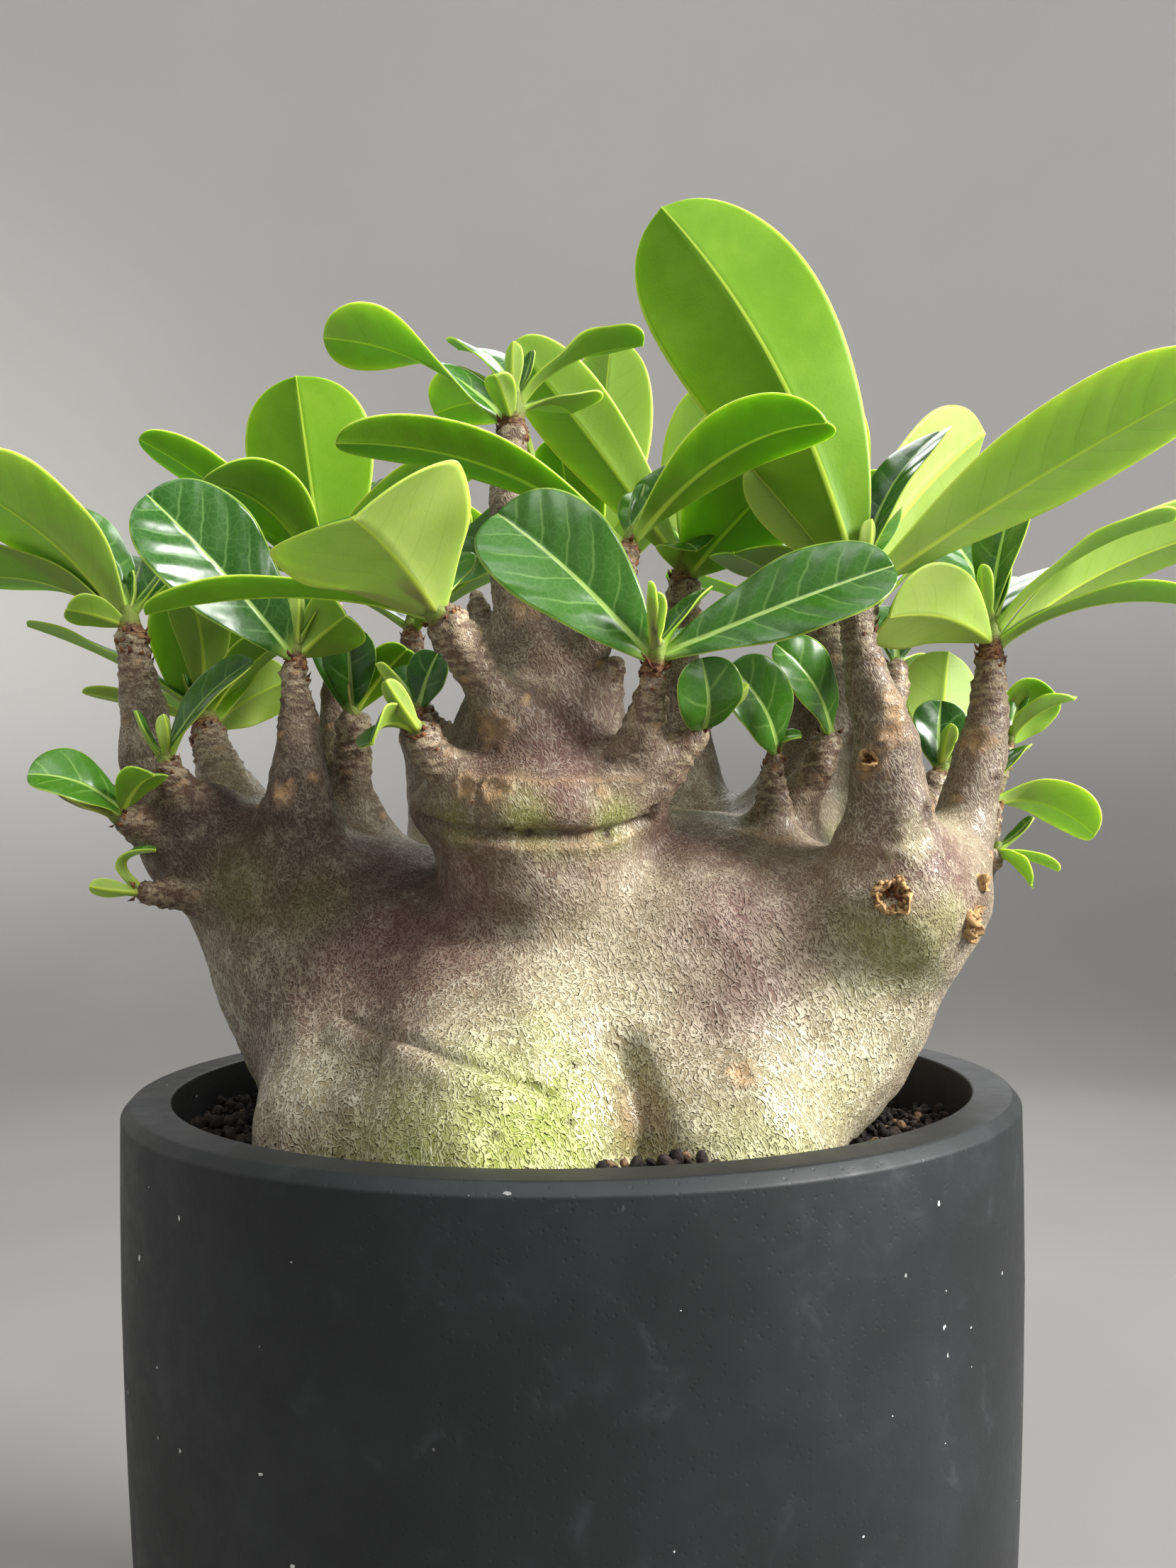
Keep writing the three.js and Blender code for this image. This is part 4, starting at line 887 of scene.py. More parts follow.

# %% [markdown]
# The bark is green underneath, and a grey-beige skin stretches over it as the trunk swells. The skin
# breaks into a net of fine cream fibres. Sun turns some sides purple-brown, and where the skin is
# thin, low in front and under the arms, the green shows. The left shoulder, the left arm, the tower
# and a few spots in front are painted dark brown: painted shade, where the crown shades them and
# where they face away from the window. The pale patches are cream skin, with painted highlights on
# some of them. Each point carries how much it has of each: a slow noise at the back, where nothing
# is known, and in front the patches that stand out, each with a place, a radius and a strength.

# %% Bark colour patches
# Of each patch: its place, its radius and its strength
PATCHES = {
    "purple": [(-27, -36, 27, 18, 1.0), (-33, -24, 38, 14, 1.0), (28, -44, 19, 13, 0.9),
               (19, -31, 44, 12, 0.8), (-3, -45, 50, 9, 0.85), (-10, -44, 56, 8, 0.8),
               (58, -38, 38, 13, 0.7), (-62, -14, 50, 16, 1.0), (-50, -18, 40, 12, 0.9),
               (40, -30, 36, 11, 0.7), (4, -40, 40, 9, 0.6), (-40, -44, 2, 9, 0.4), (26, -44, 26, 15, 0.9),
               (-22, -42, 36, 11, 0.7), (38, -40, 14, 9, 0.5), (-28, -33, 30, 17, 1.0),
               (-18, -39, 40, 11, 0.8), (-24, -48, 14, 9, 0.4), (4, -42, 30, 14, 0.4),
               (-2, -42, 58, 13, 0.9), (2, -34, 70, 12, 0.6), (-42, -32, 16, 12, 0.55),
               (-34, -30, 26, 12, 0.9)],
    "green": [(-4, -58, 2, 14, 1.0), (-18, -58, -2, 10, 0.8), (-6, -46.5, 46, 4.5, 0.55),
              (-18, -42, 45, 4, 0.5), (8, -43, 45.5, 4.5, 0.6), (30, -52, -2, 9, 0.5),
              (52, -42, 26, 8, 0.6), (-58, -22, 38, 8, 0.6), (-44, -25, 34, 6, 0.35),
              (-30, -52, -2, 9, 0.5), (-8, -60, -4, 12, 0.9), (26, -53, -4, 10, 0.5),
              (42, -46, 4, 10, 0.35)],
    # shade: painted shade, where the crown shades the bark and where it faces away from the window
    "shade": [(-34, -22, 44, 15, 0.9), (-50, -14, 52, 18, 0.9), (-66, -14, 48, 18, 1.0),
              (-58, -20, 34, 14, 0.7), (-30, -14, 58, 16, 0.8), (24, -24, 50, 10, 0.5),
              (-56, -20, 46, 19, 1.0), (-46, -20, 36, 13, 0.8), (-55, -22, 28, 12, 0.5),
              (27, -44, 20, 13, 0.4), (-28, -36, 27, 12, 0.35), (-18, -30, 64, 10, 0.6),
              (-4, -40, 62, 11, 0.45), (-26, -22, 40, 11, 0.9), (-24, -12, 50, 12, 0.9),
              (-42, -24, 28, 14, 0.5), (-62, -8, 66, 16, 0.7), (-50, -24, 20, 12, 0.5)],
    "rust": [(9.5, -52.5, 3, 5, 0.8), (11, -52, 9, 3, 0.4)],
    # pale: cream skin, with painted highlights on the left foot and the upper belly
    "pale": [(6, -47, 22, 14, 0.8), (46, -42, 12, 15, 1.0), (34, -48, 8, 12, 0.8), (-40, -42, 6, 10, 0.7),
             (12, -42, 34, 9, 0.5), (62, -30, 44, 8, 0.5), (-14, -53, 16, 10, 0.6), (18, -50, 6, 8, 0.8)],
}
print("patches:", {kind: len(rows) for kind, rows in PATCHES.items()})

# %% Tones at each point
# At the back, slow noise lays every tint, the painted shade too
MOST_BEHIND = {"purple": 0.8, "green": 0.6, "pale": 0.7, "rust": 0.0, "shade": 0.5}
BACK_FADE = 30
BOLD_FROM, BOLD_FADE = 46, 30


def patch_tones(points):
    """How much of each tint every point has."""
    tones = {}
    behind = np.clip((points[:, 1] + BACK_FADE) / BACK_FADE, 0, 1)
    ragged = 1 + 0.2 * wander(points, 12, 40)
    for seed, (kind, most) in enumerate(MOST_BEHIND.items()):
        drift = wander(points, 46, 20 + seed) + 0.4 * wander(points, 15, 30 + seed)
        tones[kind] = most * behind * np.clip((drift - 0.2) / 0.9, 0, 1)
        for *place, radius, strength in PATCHES[kind]:
            away = np.linalg.norm(points - np.array(place), axis=1) * ragged / radius
            tones[kind] = np.maximum(tones[kind], strength * bell(away))
    return tones


scar_pale = bark_marks["pale"]
bark_marks.update(patch_tones(bark_points))
bark_marks["pale"] = np.maximum(bark_marks["pale"], scar_pale)
bark_marks["bold"] = (1 - bark_marks["limb"]) * np.clip((BOLD_FROM - bark_points[:, 2]) / BOLD_FADE, 0.1, 1)
print({kind: round(float(values.mean()), 2) for kind, values in bark_marks.items()})

# %% [markdown]
# The skin is covered with short raised wrinkles, about a millimetre long and a third of that wide,
# cream on their tops and darker between. They are finer than the mesh, so they belong to the finish.
# A folded noise has thin crests where it is folded. In a space that is bent and squeezed they curl
# like worms: fine ones everywhere, bold ones low on the trunk. The same pattern lifts the surface by
# up to half a millimetre or so.

# %% Wrinkle pattern
FELT_SIZE, WORM_SIZE = 0.5, 0.85
BEND_SIZE, BEND = 6, 2.4
LEAN, SQUEEZE = 0.45, 0.42


def wrinkles(finish, place, size, low, high):
    """Thin crests of a folded noise."""
    inputs = {"Vector": place, "Scale": 1 / size, "Detail": 1.5, "Roughness": 0.5, "Distortion": 0.4,
              "Offset": 1.0, "Gain": 1.0}
    field = finish.node("TexNoise", inputs, noise_type="RIDGED_MULTIFRACTAL", normalize=True)
    return finish.band(field, low, high)


bark_finish = Finish("wrinkled bark", roughness=0.5, specular=0.45)
even = bark_finish.place()
bent = bark_finish.node("TexNoise", {"Vector": even, "Scale": 1 / BEND_SIZE, "Detail": 1.0}, output=1)
leaning = bark_finish.node("VectorMath", {0: bent, 1: (BEND,) * 3, 2: even}, operation="MULTIPLY_ADD")
leaning = bark_finish.node("VectorRotate", {"Vector": leaning, "Angle": LEAN}, rotation_type="Y_AXIS")
squeezed = bark_finish.node("VectorMath", {0: leaning, 1: (1, 1, SQUEEZE)}, operation="MULTIPLY")
felt = wrinkles(bark_finish, squeezed, FELT_SIZE, 0.68, 1.0)
worms = wrinkles(bark_finish, squeezed, WORM_SIZE, 0.74, 1.02)
bold = bark_finish.part(bark_finish.attribute("bold"), worms)
worm = bark_finish.maths("MAXIMUM", bold, bark_finish.part(felt, 0.6))
print("nodes in the wrinkles:", len(bark_finish.tree.nodes))

# %% [markdown]
# The skin between the wrinkles and the crests on top get their own colours, so that a patch can be
# purple in its depth and dusty rose on top. Every tint is laid over both in turn.

# %% Bark colours
SKIN_DARK, SKIN_LIGHT = paint(108, 86, 74), paint(134, 116, 96)
CREST_DARK, CREST_LIGHT = paint(180, 168, 139), paint(212, 203, 177)
# Each tint: how far it covers the skin, its colour there, and the same on the crests
TINTS = {
    "purple": (0.95, paint(96, 52, 50), 0.85, paint(166, 137, 128)),
    "green": (1.0, paint(144, 158, 52), 0.8, paint(206, 218, 126)),
    # pale: cream skin, partly painted highlight
    "pale": (0.65, paint(186, 178, 134), 0.6, paint(238, 234, 206)),
    "limb": (0.6, paint(102, 86, 72), 0.5, paint(170, 156, 135)),
    # shade: painted shade, dark brown, where the crown shades the bark and where it faces away from the
    # window
    "shade": (0.9, paint(46, 30, 20), 0.85, paint(74, 55, 39)),
}

slow = bark_finish.noise(even, 18, detail=5, roughness=0.6)
patchy = bark_finish.noise(even, 4, detail=4, roughness=0.65)
ground = bark_finish.mix(bark_finish.band(slow, 0.35, 0.65), SKIN_DARK, SKIN_LIGHT)
ridge = bark_finish.mix(bark_finish.band(patchy, 0.35, 0.65), CREST_DARK, CREST_LIGHT)
tint = {kind: bark_finish.attribute(kind) for kind in TINTS}
for kind, (in_skin, skin_colour, on_crest, crest_colour) in TINTS.items():
    ground = bark_finish.mix(bark_finish.part(tint[kind], in_skin), ground, skin_colour)
    ridge = bark_finish.mix(bark_finish.part(tint[kind], on_crest), ridge, crest_colour)
shown = bark_finish.maths("MULTIPLY_ADD", tint["pale"], 0.05, 0.84)
shown = bark_finish.part(shown, bark_finish.band(patchy, 0.3, 0.6, 0.65, 1.0))
skin = bark_finish.mix(bark_finish.part(worm, shown), ground, ridge)
print("tints laid over the bark:", list(TINTS))

# %% Peeling tips and scars
DUST, RUST = paint(206, 196, 170), paint(122, 84, 44)
PEEL_DARK, PEEL_LIGHT = paint(104, 70, 50), paint(196, 176, 142)
SCAR_TAN, PIT_AND_GROOVE_SHADE_BROWN = paint(184, 148, 106), paint(66, 40, 28)
PEEL_SIZE, CRACK_SIZE = 2.2, 1.1

near_tip, rust, tan, pit = (bark_finish.attribute(kind) for kind in ("near_tip", "rust", "tan", "pit"))
skin = bark_finish.mix(bark_finish.band(patchy, 0.5, 0.75, 0, 0.2), skin, DUST)
peel = bark_finish.noise(bark_finish.place((1, 1, 2.2)), PEEL_SIZE, detail=5, roughness=0.7)
dark_peel = bark_finish.part(near_tip, bark_finish.band(peel, 0.42, 0.56, 0.6, 0.0))
skin = bark_finish.mix(dark_peel, skin, PEEL_DARK)
light_peel = bark_finish.part(near_tip, bark_finish.band(peel, 0.46, 0.58))
skin = bark_finish.mix(bark_finish.part(light_peel, 0.6), skin, PEEL_LIGHT)
skin = bark_finish.mix(bark_finish.part(rust, 0.85), skin, RUST)
crack = bark_finish.noise(even, CRACK_SIZE, detail=3, roughness=0.7)
skin = bark_finish.mix(bark_finish.part(tan, bark_finish.band(crack, 0.35, 0.6, 0.35, 0.9)), skin, SCAR_TAN)
# The pit colour also darkens the narrow grooves, which is painted shade
skin = bark_finish.mix(bark_finish.part(pit, bark_finish.band(crack, 0.3, 0.65, 1.0, 0.5)), skin, PIT_AND_GROOVE_SHADE_BROWN)
print("nodes in the bark so far:", len(bark_finish.tree.nodes))

# %% Bark relief and gloss
FELT_LIFT, WORM_LIFT, GRAIN_LIFT = 0.18, 0.44, 0.05
GRAIN_SIZE = 0.35

grain = bark_finish.noise(even, GRAIN_SIZE, detail=3, roughness=0.7)
lift = bark_finish.bump(felt, FELT_LIFT)
lift = bark_finish.bump(bold, WORM_LIFT, below=lift)
lift = bark_finish.bump(grain, GRAIN_LIFT, below=lift, strength=0.7)
rough = bark_finish.maths("MULTIPLY_ADD", tint["shade"], 0.25, bark_finish.band(worm, 0, 1, 0.6, 0.3))
bark = bark_finish.close(skin, lift, rough)
bark_finish.shader.inputs["Sheen Weight"].default_value = 0.02
bark_finish.shader.inputs["Sheen Roughness"].default_value = 0.4

make_piece("plant_bark", bark_points + np.array([0, 0, RIM]), bark_faces, [bark], ["trunk"],
           marks=bark_marks)

# %% [markdown]
# Loose lumps make both the grit and the crumbling ends of old cuts. Each starts as a small even ball
# whose points are pushed in and out at random, then stretched, so that no two are alike.

# %% Lumps
def ball(steps):
    """Points and triangles of an even ball of radius 1."""
    work = bmesh.new()
    bmesh.ops.create_icosphere(work, subdivisions=steps, radius=1.0)
    points = np.array([vert.co[:] for vert in work.verts])
    faces = np.array([[vert.index for vert in face.verts] for face in work.faces])
    work.free()
    return points, faces


BALL_POINTS, BALL_FACES = ball(2)
DENT, DENT_SIZE = 0.16, 1.3


def lumps(spots, random):
    """A crowd of rough lumps: each spot has a middle, a size, a flatness and a tone."""
    points, faces, tones = [], [], []
    for middle, size, flat, tone in spots:
        turn = np.linalg.qr(random.normal(size=(3, 3)))[0]
        dents = 1 + DENT * wander(BALL_POINTS, DENT_SIZE, int(random.integers(1 << 30)))
        dents *= random.uniform(0.9, 1.1, len(BALL_POINTS))
        shape = BALL_POINTS * dents[:, None] * size * np.array([1, random.uniform(0.7, 1), flat])
        faces.append(BALL_FACES + len(points) * len(BALL_POINTS))
        points.append(shape @ turn + middle)
        tones.append(np.full(len(BALL_POINTS), tone))
    return np.concatenate(points), np.concatenate(faces), np.concatenate(tones)


print("a lump has", len(BALL_FACES), "triangles")

# %% [markdown]
# The growing mix is volcanic grit, dark grey-brown, with grains of one to three millimetres. A bed
# with a rough top fills the pot, and single grains lie on it and half sink into it wherever it can
# be seen, round the trunk. They are real lumps, because their edges and the black gaps between them
# are what makes grit look like grit.

# %% Bed of the mix
SOIL_LEVEL = -7.0
# Each by its place, its rise and how far it spreads
MOUND = (16, -60, 4.5, 13)
DIP = (56, 30, -6, 20)
BED_SIDES = 180
BED_RADIUS = 70.4
BED_BOTTOM = 12.4
BED_WALL = [(BED_RADIUS, 120), (70.3, 100), (68, 60), (62.4, 22.3), (55.4, BED_BOTTOM)]
SKIN_DEPTH, MOST_DEPTH = 2, 9


def soil_height(x, y):
    """Level of the mix, with its mound in front and its dip at the back."""
    height = np.full(np.shape(x), SOIL_LEVEL)
    for px, py, rise, spread in (MOUND, DIP):
        height = height + rise * np.exp(-((x - px) ** 2 + (y - py) ** 2) / (2 * spread ** 2))
    return height


def bed():
    """The body of the mix, rough on top and pressed down where the trunk stands."""
    level = RIM + SOIL_LEVEL
    radii = np.concatenate([np.linspace(2, 40, 12), np.linspace(42, 69, 28), [BED_RADIUS]])
    profile = [(0, level)] + [(r, level) for r in radii] + BED_WALL + [(0, BED_BOTTOM)]
    points, faces = turned(profile[::-1], BED_SIDES)
    points = np.array(points)
    top = points[:, 2] > level - 0.1
    spots = points[top]
    rough = 0.5 * wander(spots, 5, 50) + 0.5 * wander(spots, 2.4, 51)
    points[top, 2] = RIM + soil_height(spots[:, 0], spots[:, 1]) + 0.7 * rough - 0.6
    below = plant_distance(points - np.array([0, 0, RIM]))
    inside = top & (below < -SKIN_DEPTH)
    points[inside, 2] -= np.minimum(-below[inside] - SKIN_DEPTH, MOST_DEPTH)
    return points, faces


bed_points, bed_faces = bed()
print("points in the bed:", len(bed_points))

# %% Grains of the mix
GRAIN_TRIES = 9000
BED_REACH = 70.6
MOST_GRAINS = 2300
CLOSE_SHARE, SHARE_SKIPPED = 0.66, 0.55


def grain_spots(random):
    """Grains dropped one by one on the open ring of mix, none inside the trunk or the wall."""
    sizes = 0.5 + 0.85 * random.random(GRAIN_TRIES) ** 2.2
    reach = (BED_REACH - sizes) * np.sqrt(random.random(GRAIN_TRIES))
    angle = random.uniform(0, 2 * np.pi, GRAIN_TRIES)
    x, y = reach * np.cos(angle), reach * np.sin(angle)
    z = soil_height(x, y) + random.uniform(-0.5, 0.5, GRAIN_TRIES)
    outside = plant_distance(np.stack([x, y, z], 1)) > -0.2
    spots, kept = [], np.zeros((0, 3))
    for k in np.flatnonzero(outside):
        size, rise = sizes[k], 0.0
        if len(kept):
            apart = np.hypot(kept[:, 0] - x[k], kept[:, 1] - y[k])
            gap = (apart - CLOSE_SHARE * (kept[:, 2] + size)).min()
            if gap < 0 and (gap < -0.9 * size or random.random() < SHARE_SKIPPED):
                continue
            rise = 0.8 if gap < 0 else 0.0
        kept = np.vstack([kept, (x[k], y[k], size)])
        spots.append(((x[k], y[k], z[k] + rise + RIM), size, random.uniform(0.65, 1.0), random.random()))
    return spots[:MOST_GRAINS]


mix_random = np.random.default_rng(11)
grains = grain_spots(mix_random)
grain_points, grain_faces, grain_tones = lumps(grains, mix_random)
print(len(grains), "grains")

# %% Mix finish
LAVA_DARK, LAVA_LIGHT, LAVA_RED = paint(38, 34, 33), paint(74, 64, 58), paint(140, 112, 86)
PORE_BLACK = paint(18, 15, 14)

mix_finish = Finish("volcanic grit", roughness=0.92, specular=0.2)
spot = mix_finish.place()
tone = mix_finish.attribute("tone")
pores = mix_finish.noise(spot, 0.7, detail=5, roughness=0.7)
stone = mix_finish.mix(mix_finish.band(tone, 0.0, 0.8), LAVA_DARK, LAVA_LIGHT)
stone = mix_finish.mix(mix_finish.maths("GREATER_THAN", tone, 0.93), stone, LAVA_RED)
stone = mix_finish.mix(mix_finish.band(pores, 0.35, 0.7, 0.75, 0.0), stone, PORE_BLACK)
grit = mix_finish.close(stone, mix_finish.bump(pores, 0.35, strength=0.9))

make_piece("mix_bed", bed_points, bed_faces, [grit], ["soil"],
           marks={"tone": np.full(len(bed_points), 0.1)})
make_piece("mix_grains", grain_points, grain_faces, [grit], marks={"tone": grain_tones})

# %% [markdown]
# Every leaf is a thin closed blade bent through three points: its root on the shoot, a middle and
# its tip. The leaves that show in front are listed by the place of their tip, their width and the way
# their upper face looks. The rest follow a rule, turned by the golden angle round the shoot and
# nudged until they have room, so the crown is full from every side. The same rule made the solids,
# so each fine leaf lies on its plain one.

# %% Leaves that show in front
# Of each: the tip, the width, the way its upper face looks in degrees round and above level, its
# arch, its sweep and, where it has one, its twist
LEAVES = {
    "right front": [((17, -34, 150), 28, 88, 8, -3, -4), ((31, -39, 106), 14, 100, 20, 1, -2),
        ((97, -62, 110), 20, 95, 52, 4, -2), ((78, -10, 119), 20, 80, 40, 3, 0)],
    "right front twig": [((58, -20, 84), 9, -90, 30, 1, 0)],
    "right outer": [((127, -8, 102), 17, 100, 50, 5, 0), ((107, -30, 82), 17, -80, 84, 4, 0),
        ((51, -44, 78), 17, 70, 25, 1, -2)],
    "upper side spur": [((94, 2, 72), 12, 90, 30, 2, 0)],
    "lower side spur": [((97, -8, 44), 12, 70, 50, 4, 0)],
    "low side twig": [((89, -11, 37.5), 4.5, 90, 70, 1, 0), ((82, -16, 35), 6, 90, 50, 1, 0)],
    "crotch spur": [((70, -5, 69.5), 11, -80, 20, -1, 0), ((74, 3, 80), 15, 90, 20, 1, 0)],
    "front right twig": [((-10.5, -44, 95), 20, -95, 25, 3, 0), ((50, -52, 84), 15, -80, 30, 1, 0)],
    "front left twig": [((-26.4, -80, 84.5), 29, 115, 50, 3, 0), ((-61, -58, 77), 14, -90, 88, 3, 0)],
    "tower": [((-41, -30, 130), 14, 90, 100, 4, 0, -140), ((-11, -38, 120), 5, 90, 30, 1, 0),
        ((-25, -5, 126), 14, 90, 50, 4, 0), ((-27, -6, 93), 13, -110, 20, -13, 0)],
    "tower left twig": [((-22, -26, 76), 8, -100, 20, 1, 0), ((-31, -19, 74), 6, -90, 30, 1, 0)],
    "tower side twig": [((-36, -44, 107), 12, 100, 66, 7, 0), ((39, -59, 104), 14, 100, 50, 7, 0)],
    "middle rear": [((42, -18, 112), 28, 90, 35, 2, 0), ((25, 0, 100), 12, -90, 40, 4, 0),
        ((32, 10, 137), 18, 80, 50, 4, 0), ((-10, -2, 141), 16, 100, 45, 3, 0)],
    "left rear": [((-56, 14, 141), 27, 90, 10, 0, 0), ((-87, 10, 127), 12, 90, 60, 4, 0),
        ((-69, -8, 112), 19, 90, 60, 8, 0)],
    "back fork": [((10, 42, 160), 22, 70, 10, 0, 0)],
    "left outer": [((-113, -16, 112), 22, 75, 45, 5, 0), ((-124, 8, 98), 18, 60, 70, 5, 0),
        ((-91, -14, 87), 7, 90, 30, 1, 0)],
    "left back": [((-78, 22, 103), 27, 90, 15, 2, 0), ((-60, 27, 80), 14, 100, 30, 3, 0),
        ((-97, 8, 75), 5, 90, 60, 1, 0)],
    "left low rear": [((-48, 6, 89), 9, -90, 20, 1, 0), ((-30, -8, 80), 8, 60, 60, 2, 0),
        ((-41, -9, 84), 10, -80, 30, 1, 0)],
    "left middle spur": [((-57, -14, 77), 12, -90, 60, 2, 0)],
    "left inner": [((-71, -30, 103), 21, -85, 30, 2, 0), ((-39, -20, 84), 12, 60, 40, 3, 0)],
    "left low spur": [((-93, -24, 56), 13, -90, 48, 3, 0), ((-72, -22, 56), 8, 100, 70, 2, 0)],
    "left bent spur": [((-73, -18, 43), 5, 180, 0, 4.5, 0)],
    "low left spur": [((-29, -52, 58), 9, 100, 60, 3, 0)],
    "low right spur": [((21, -48, 71), 11, -90, 40, 3, 0)],
    "front spur": [((27, -34, 72), 13, -90, 30, 3, 0), ((40, -26, 61), 4, -90, 60, 1, 0)],
    "right spur": [((36, -25, 77), 12, -80, 30, 3, 0)],
}
print("shoots with leaves by place:", len(LEAVES))

# %% Leaves by rule
# Of each shoot: how many, their length and width, and the middle and spread in degrees of the part
# of the round in which they grow
RULE = [
    ("right front", 2, 40, 18, 80, 100), ("right outer", 4, 40, 18, 60, 160),
    ("left outer", 3, 40, 17, 110, 150), ("left inner", 3, 32, 14, 100, 170),
    ("front left twig", 2, 24, 11, 120, 90),
    ("front right twig", 2, 22, 10, 70, 90), ("tower", 3, 38, 17, 90, 250),
    ("tower side twig", 2, 28, 13, 60, 90), ("middle rear", 3, 40, 17, 60, 260),
    ("right rear", 7, 44, 19, 90, 360), ("left back", 5, 38, 17, 120, 300),
    ("left low rear", 1, 20, 10, 120, 120), ("left rear", 4, 40, 17, 100, 360),
    ("back fork", 6, 46, 20, 90, 360), ("back left fork", 6, 46, 19, 90, 360),
    ("back right fork", 6, 44, 19, 60, 360),
    ("upper side spur", 3, 22, 11, 60, 160), ("lower side spur", 2, 18, 9, 60, 120),
    ("crotch spur", 1, 20, 10, 80, 120), ("left low spur", 1, 16, 8, 120, 60),
]
print(sum(map(len, LEAVES.values())), "leaves by place,", sum(row[1] for row in RULE), "by rule")

# %% Shape of one leaf
STALK_HALF_WIDTH = 1.0
TIP_HALF_WIDTH = 0.35
FRONT_FOLD = 0.24
OUTLINE_POWER, OUTLINE_PEAK = 0.44, 0.4122


def unit(vector):
    return vector / np.linalg.norm(vector)


def facing(round_about, above):
    """A direction, from the degrees round from the right and the degrees above level."""
    turn, rise = math.radians(round_about), math.radians(above)
    level = math.cos(rise)
    return np.array([level * math.cos(turn), level * math.sin(turn), math.sin(rise)])


def leaf_between(shoot, root, tip, face, width, arch, sweep, fold, twist=0):
    """A leaf from its root to its tip, arched upwards, swept sideways and folded along its midrib."""
    chord = unit(tip - root)
    up = unit(face - chord * (face @ chord))
    side = np.cross(chord, up)
    middle = (root + tip) / 2 + 2 * arch * up + 2 * sweep * side
    return {"shoot": shoot, "root": root, "middle": middle, "tip": tip, "up": up, "width": width,
            "fold": fold, "twist": math.radians(twist), "length": np.linalg.norm(tip - root)}


def half_width(leaf, share):
    """Half the width at each share of the length: a paddle, widest in its outer third."""
    shape = share * np.maximum(1 - share, 0) ** OUTLINE_POWER / OUTLINE_PEAK
    least = np.where(share < 0.3, STALK_HALF_WIDTH * (1 - share * 0.5), TIP_HALF_WIDTH)
    return np.where(share >= 1, TIP_HALF_WIDTH, np.maximum(leaf["width"] / 2 * shape, least))


def blade_frame(leaf, share):
    """Middle line of the blade with its directions along, up and across."""
    share = np.asarray(share, float)[..., None]
    back = 1 - share
    spot = leaf["root"] * back ** 2 + leaf["middle"] * 2 * share * back + leaf["tip"] * share ** 2
    along = (leaf["middle"] - leaf["root"]) * back + (leaf["tip"] - leaf["middle"]) * share
    along /= np.linalg.norm(along, axis=-1, keepdims=True)
    up = leaf["up"] - along * (along @ leaf["up"])[..., None]
    up /= np.linalg.norm(up, axis=-1, keepdims=True)
    turn = -leaf["twist"] * (share - 0.5)
    up = up * np.cos(turn) + np.cross(along, up) * np.sin(turn)
    return spot, along, up, np.cross(along, up)


def blade_points(leaf, share, across):
    """Points of the plain blade, without thickness."""
    spot, _, up, side = blade_frame(leaf, share)
    half = half_width(leaf, np.asarray(share, float))
    return spot + side * (across * half)[..., None] + up * (leaf["fold"] * np.abs(across) * half)[..., None]


print("widest at", round(1 / (1 + OUTLINE_POWER), 2), "of the length")

# %% Where leaves are rooted
FIRST_LEAF_RISE = 1.4
LEAF_STEP = 0.85
RULE_SEED = 7
RANDOM_STEP, RANDOM_SHIFT, RANDOM_RANGE = 1664525, 1013904223, 4294967296


def random_run(seed):
    """Even random numbers from 0 to 1, the same ones in any language."""
    state = seed
    while True:
        state = (state * RANDOM_STEP + RANDOM_SHIFT) % RANDOM_RANGE
        yield state / RANDOM_RANGE


def limb_end(name):
    """End of a limb, the direction it grows in, and its radius there."""
    path = LIMBS[name][1]
    end = np.array(path[-1][:3], float)
    return end, unit(end - np.array(path[-2][:3])), path[-1][3]


def next_root(placed, shoot):
    """Root of the next leaf, a little above the last one of its shoot."""
    end, along, _ = limb_end(shoot)
    below = sum(leaf["shoot"] == shoot for leaf in placed)
    return end + along * (FIRST_LEAF_RISE + LEAF_STEP * below)


print("the tower ends", limb_end("tower")[0][2], "mm above the rim, with a radius of", limb_end("tower")[2])

# %% Room for a leaf
SPOT_SHARES = np.repeat(np.arange(2, 11) / 10, 5)
SPOT_ACROSS = np.tile([-0.9, -0.45, 0, 0.45, 0.9], 9)
NEAR_ROOT_SPOTS = 10
LIMB_GAP, LOBE_ROOM = 1.0, 1.08
SISTER_GAP, OTHER_GAP = 1.6, 3.0
CANOPY_SIDE, CANOPY_DEPTH, CANOPY_TOP, CROWN_TOP = 118, 95, 116, 138
CROWN_X, CROWN_REACH = -5, 48


def clear_of_bark(spots):
    if any((path_distance(spots, path) < LIMB_GAP).any() for _, path in LIMBS.values()):
        return False
    return not any((np.sqrt((((spots - np.array(middle)) / np.array(axes)) ** 2).sum(1)) < LOBE_ROOM).any()
                   for _, middle, axes, _ in LOBES)


def clear_of_leaves(spots, shoot, placed):
    for other in placed:
        sister = other["shoot"] == shoot
        start = NEAR_ROOT_SPOTS if sister else 0
        gaps = np.linalg.norm(spots[start:, None] - other["spots"][None, start:], axis=2)
        if gaps.min() < (SISTER_GAP if sister else OTHER_GAP):
            return False
    return True


def inside_canopy(spots, tip):
    ceiling = CROWN_TOP if abs(tip[0] - CROWN_X) < CROWN_REACH else CANOPY_TOP
    return bool((np.abs(spots[:, 0]) <= CANOPY_SIDE).all() and (np.abs(spots[:, 1]) <= CANOPY_DEPTH).all()
                and (spots[:, 2] <= ceiling).all())


print("points tried on each leaf:", len(SPOT_SHARES))

# %% Place all leaves
TRIES = 40
GOLDEN_SHARE = 0.618034


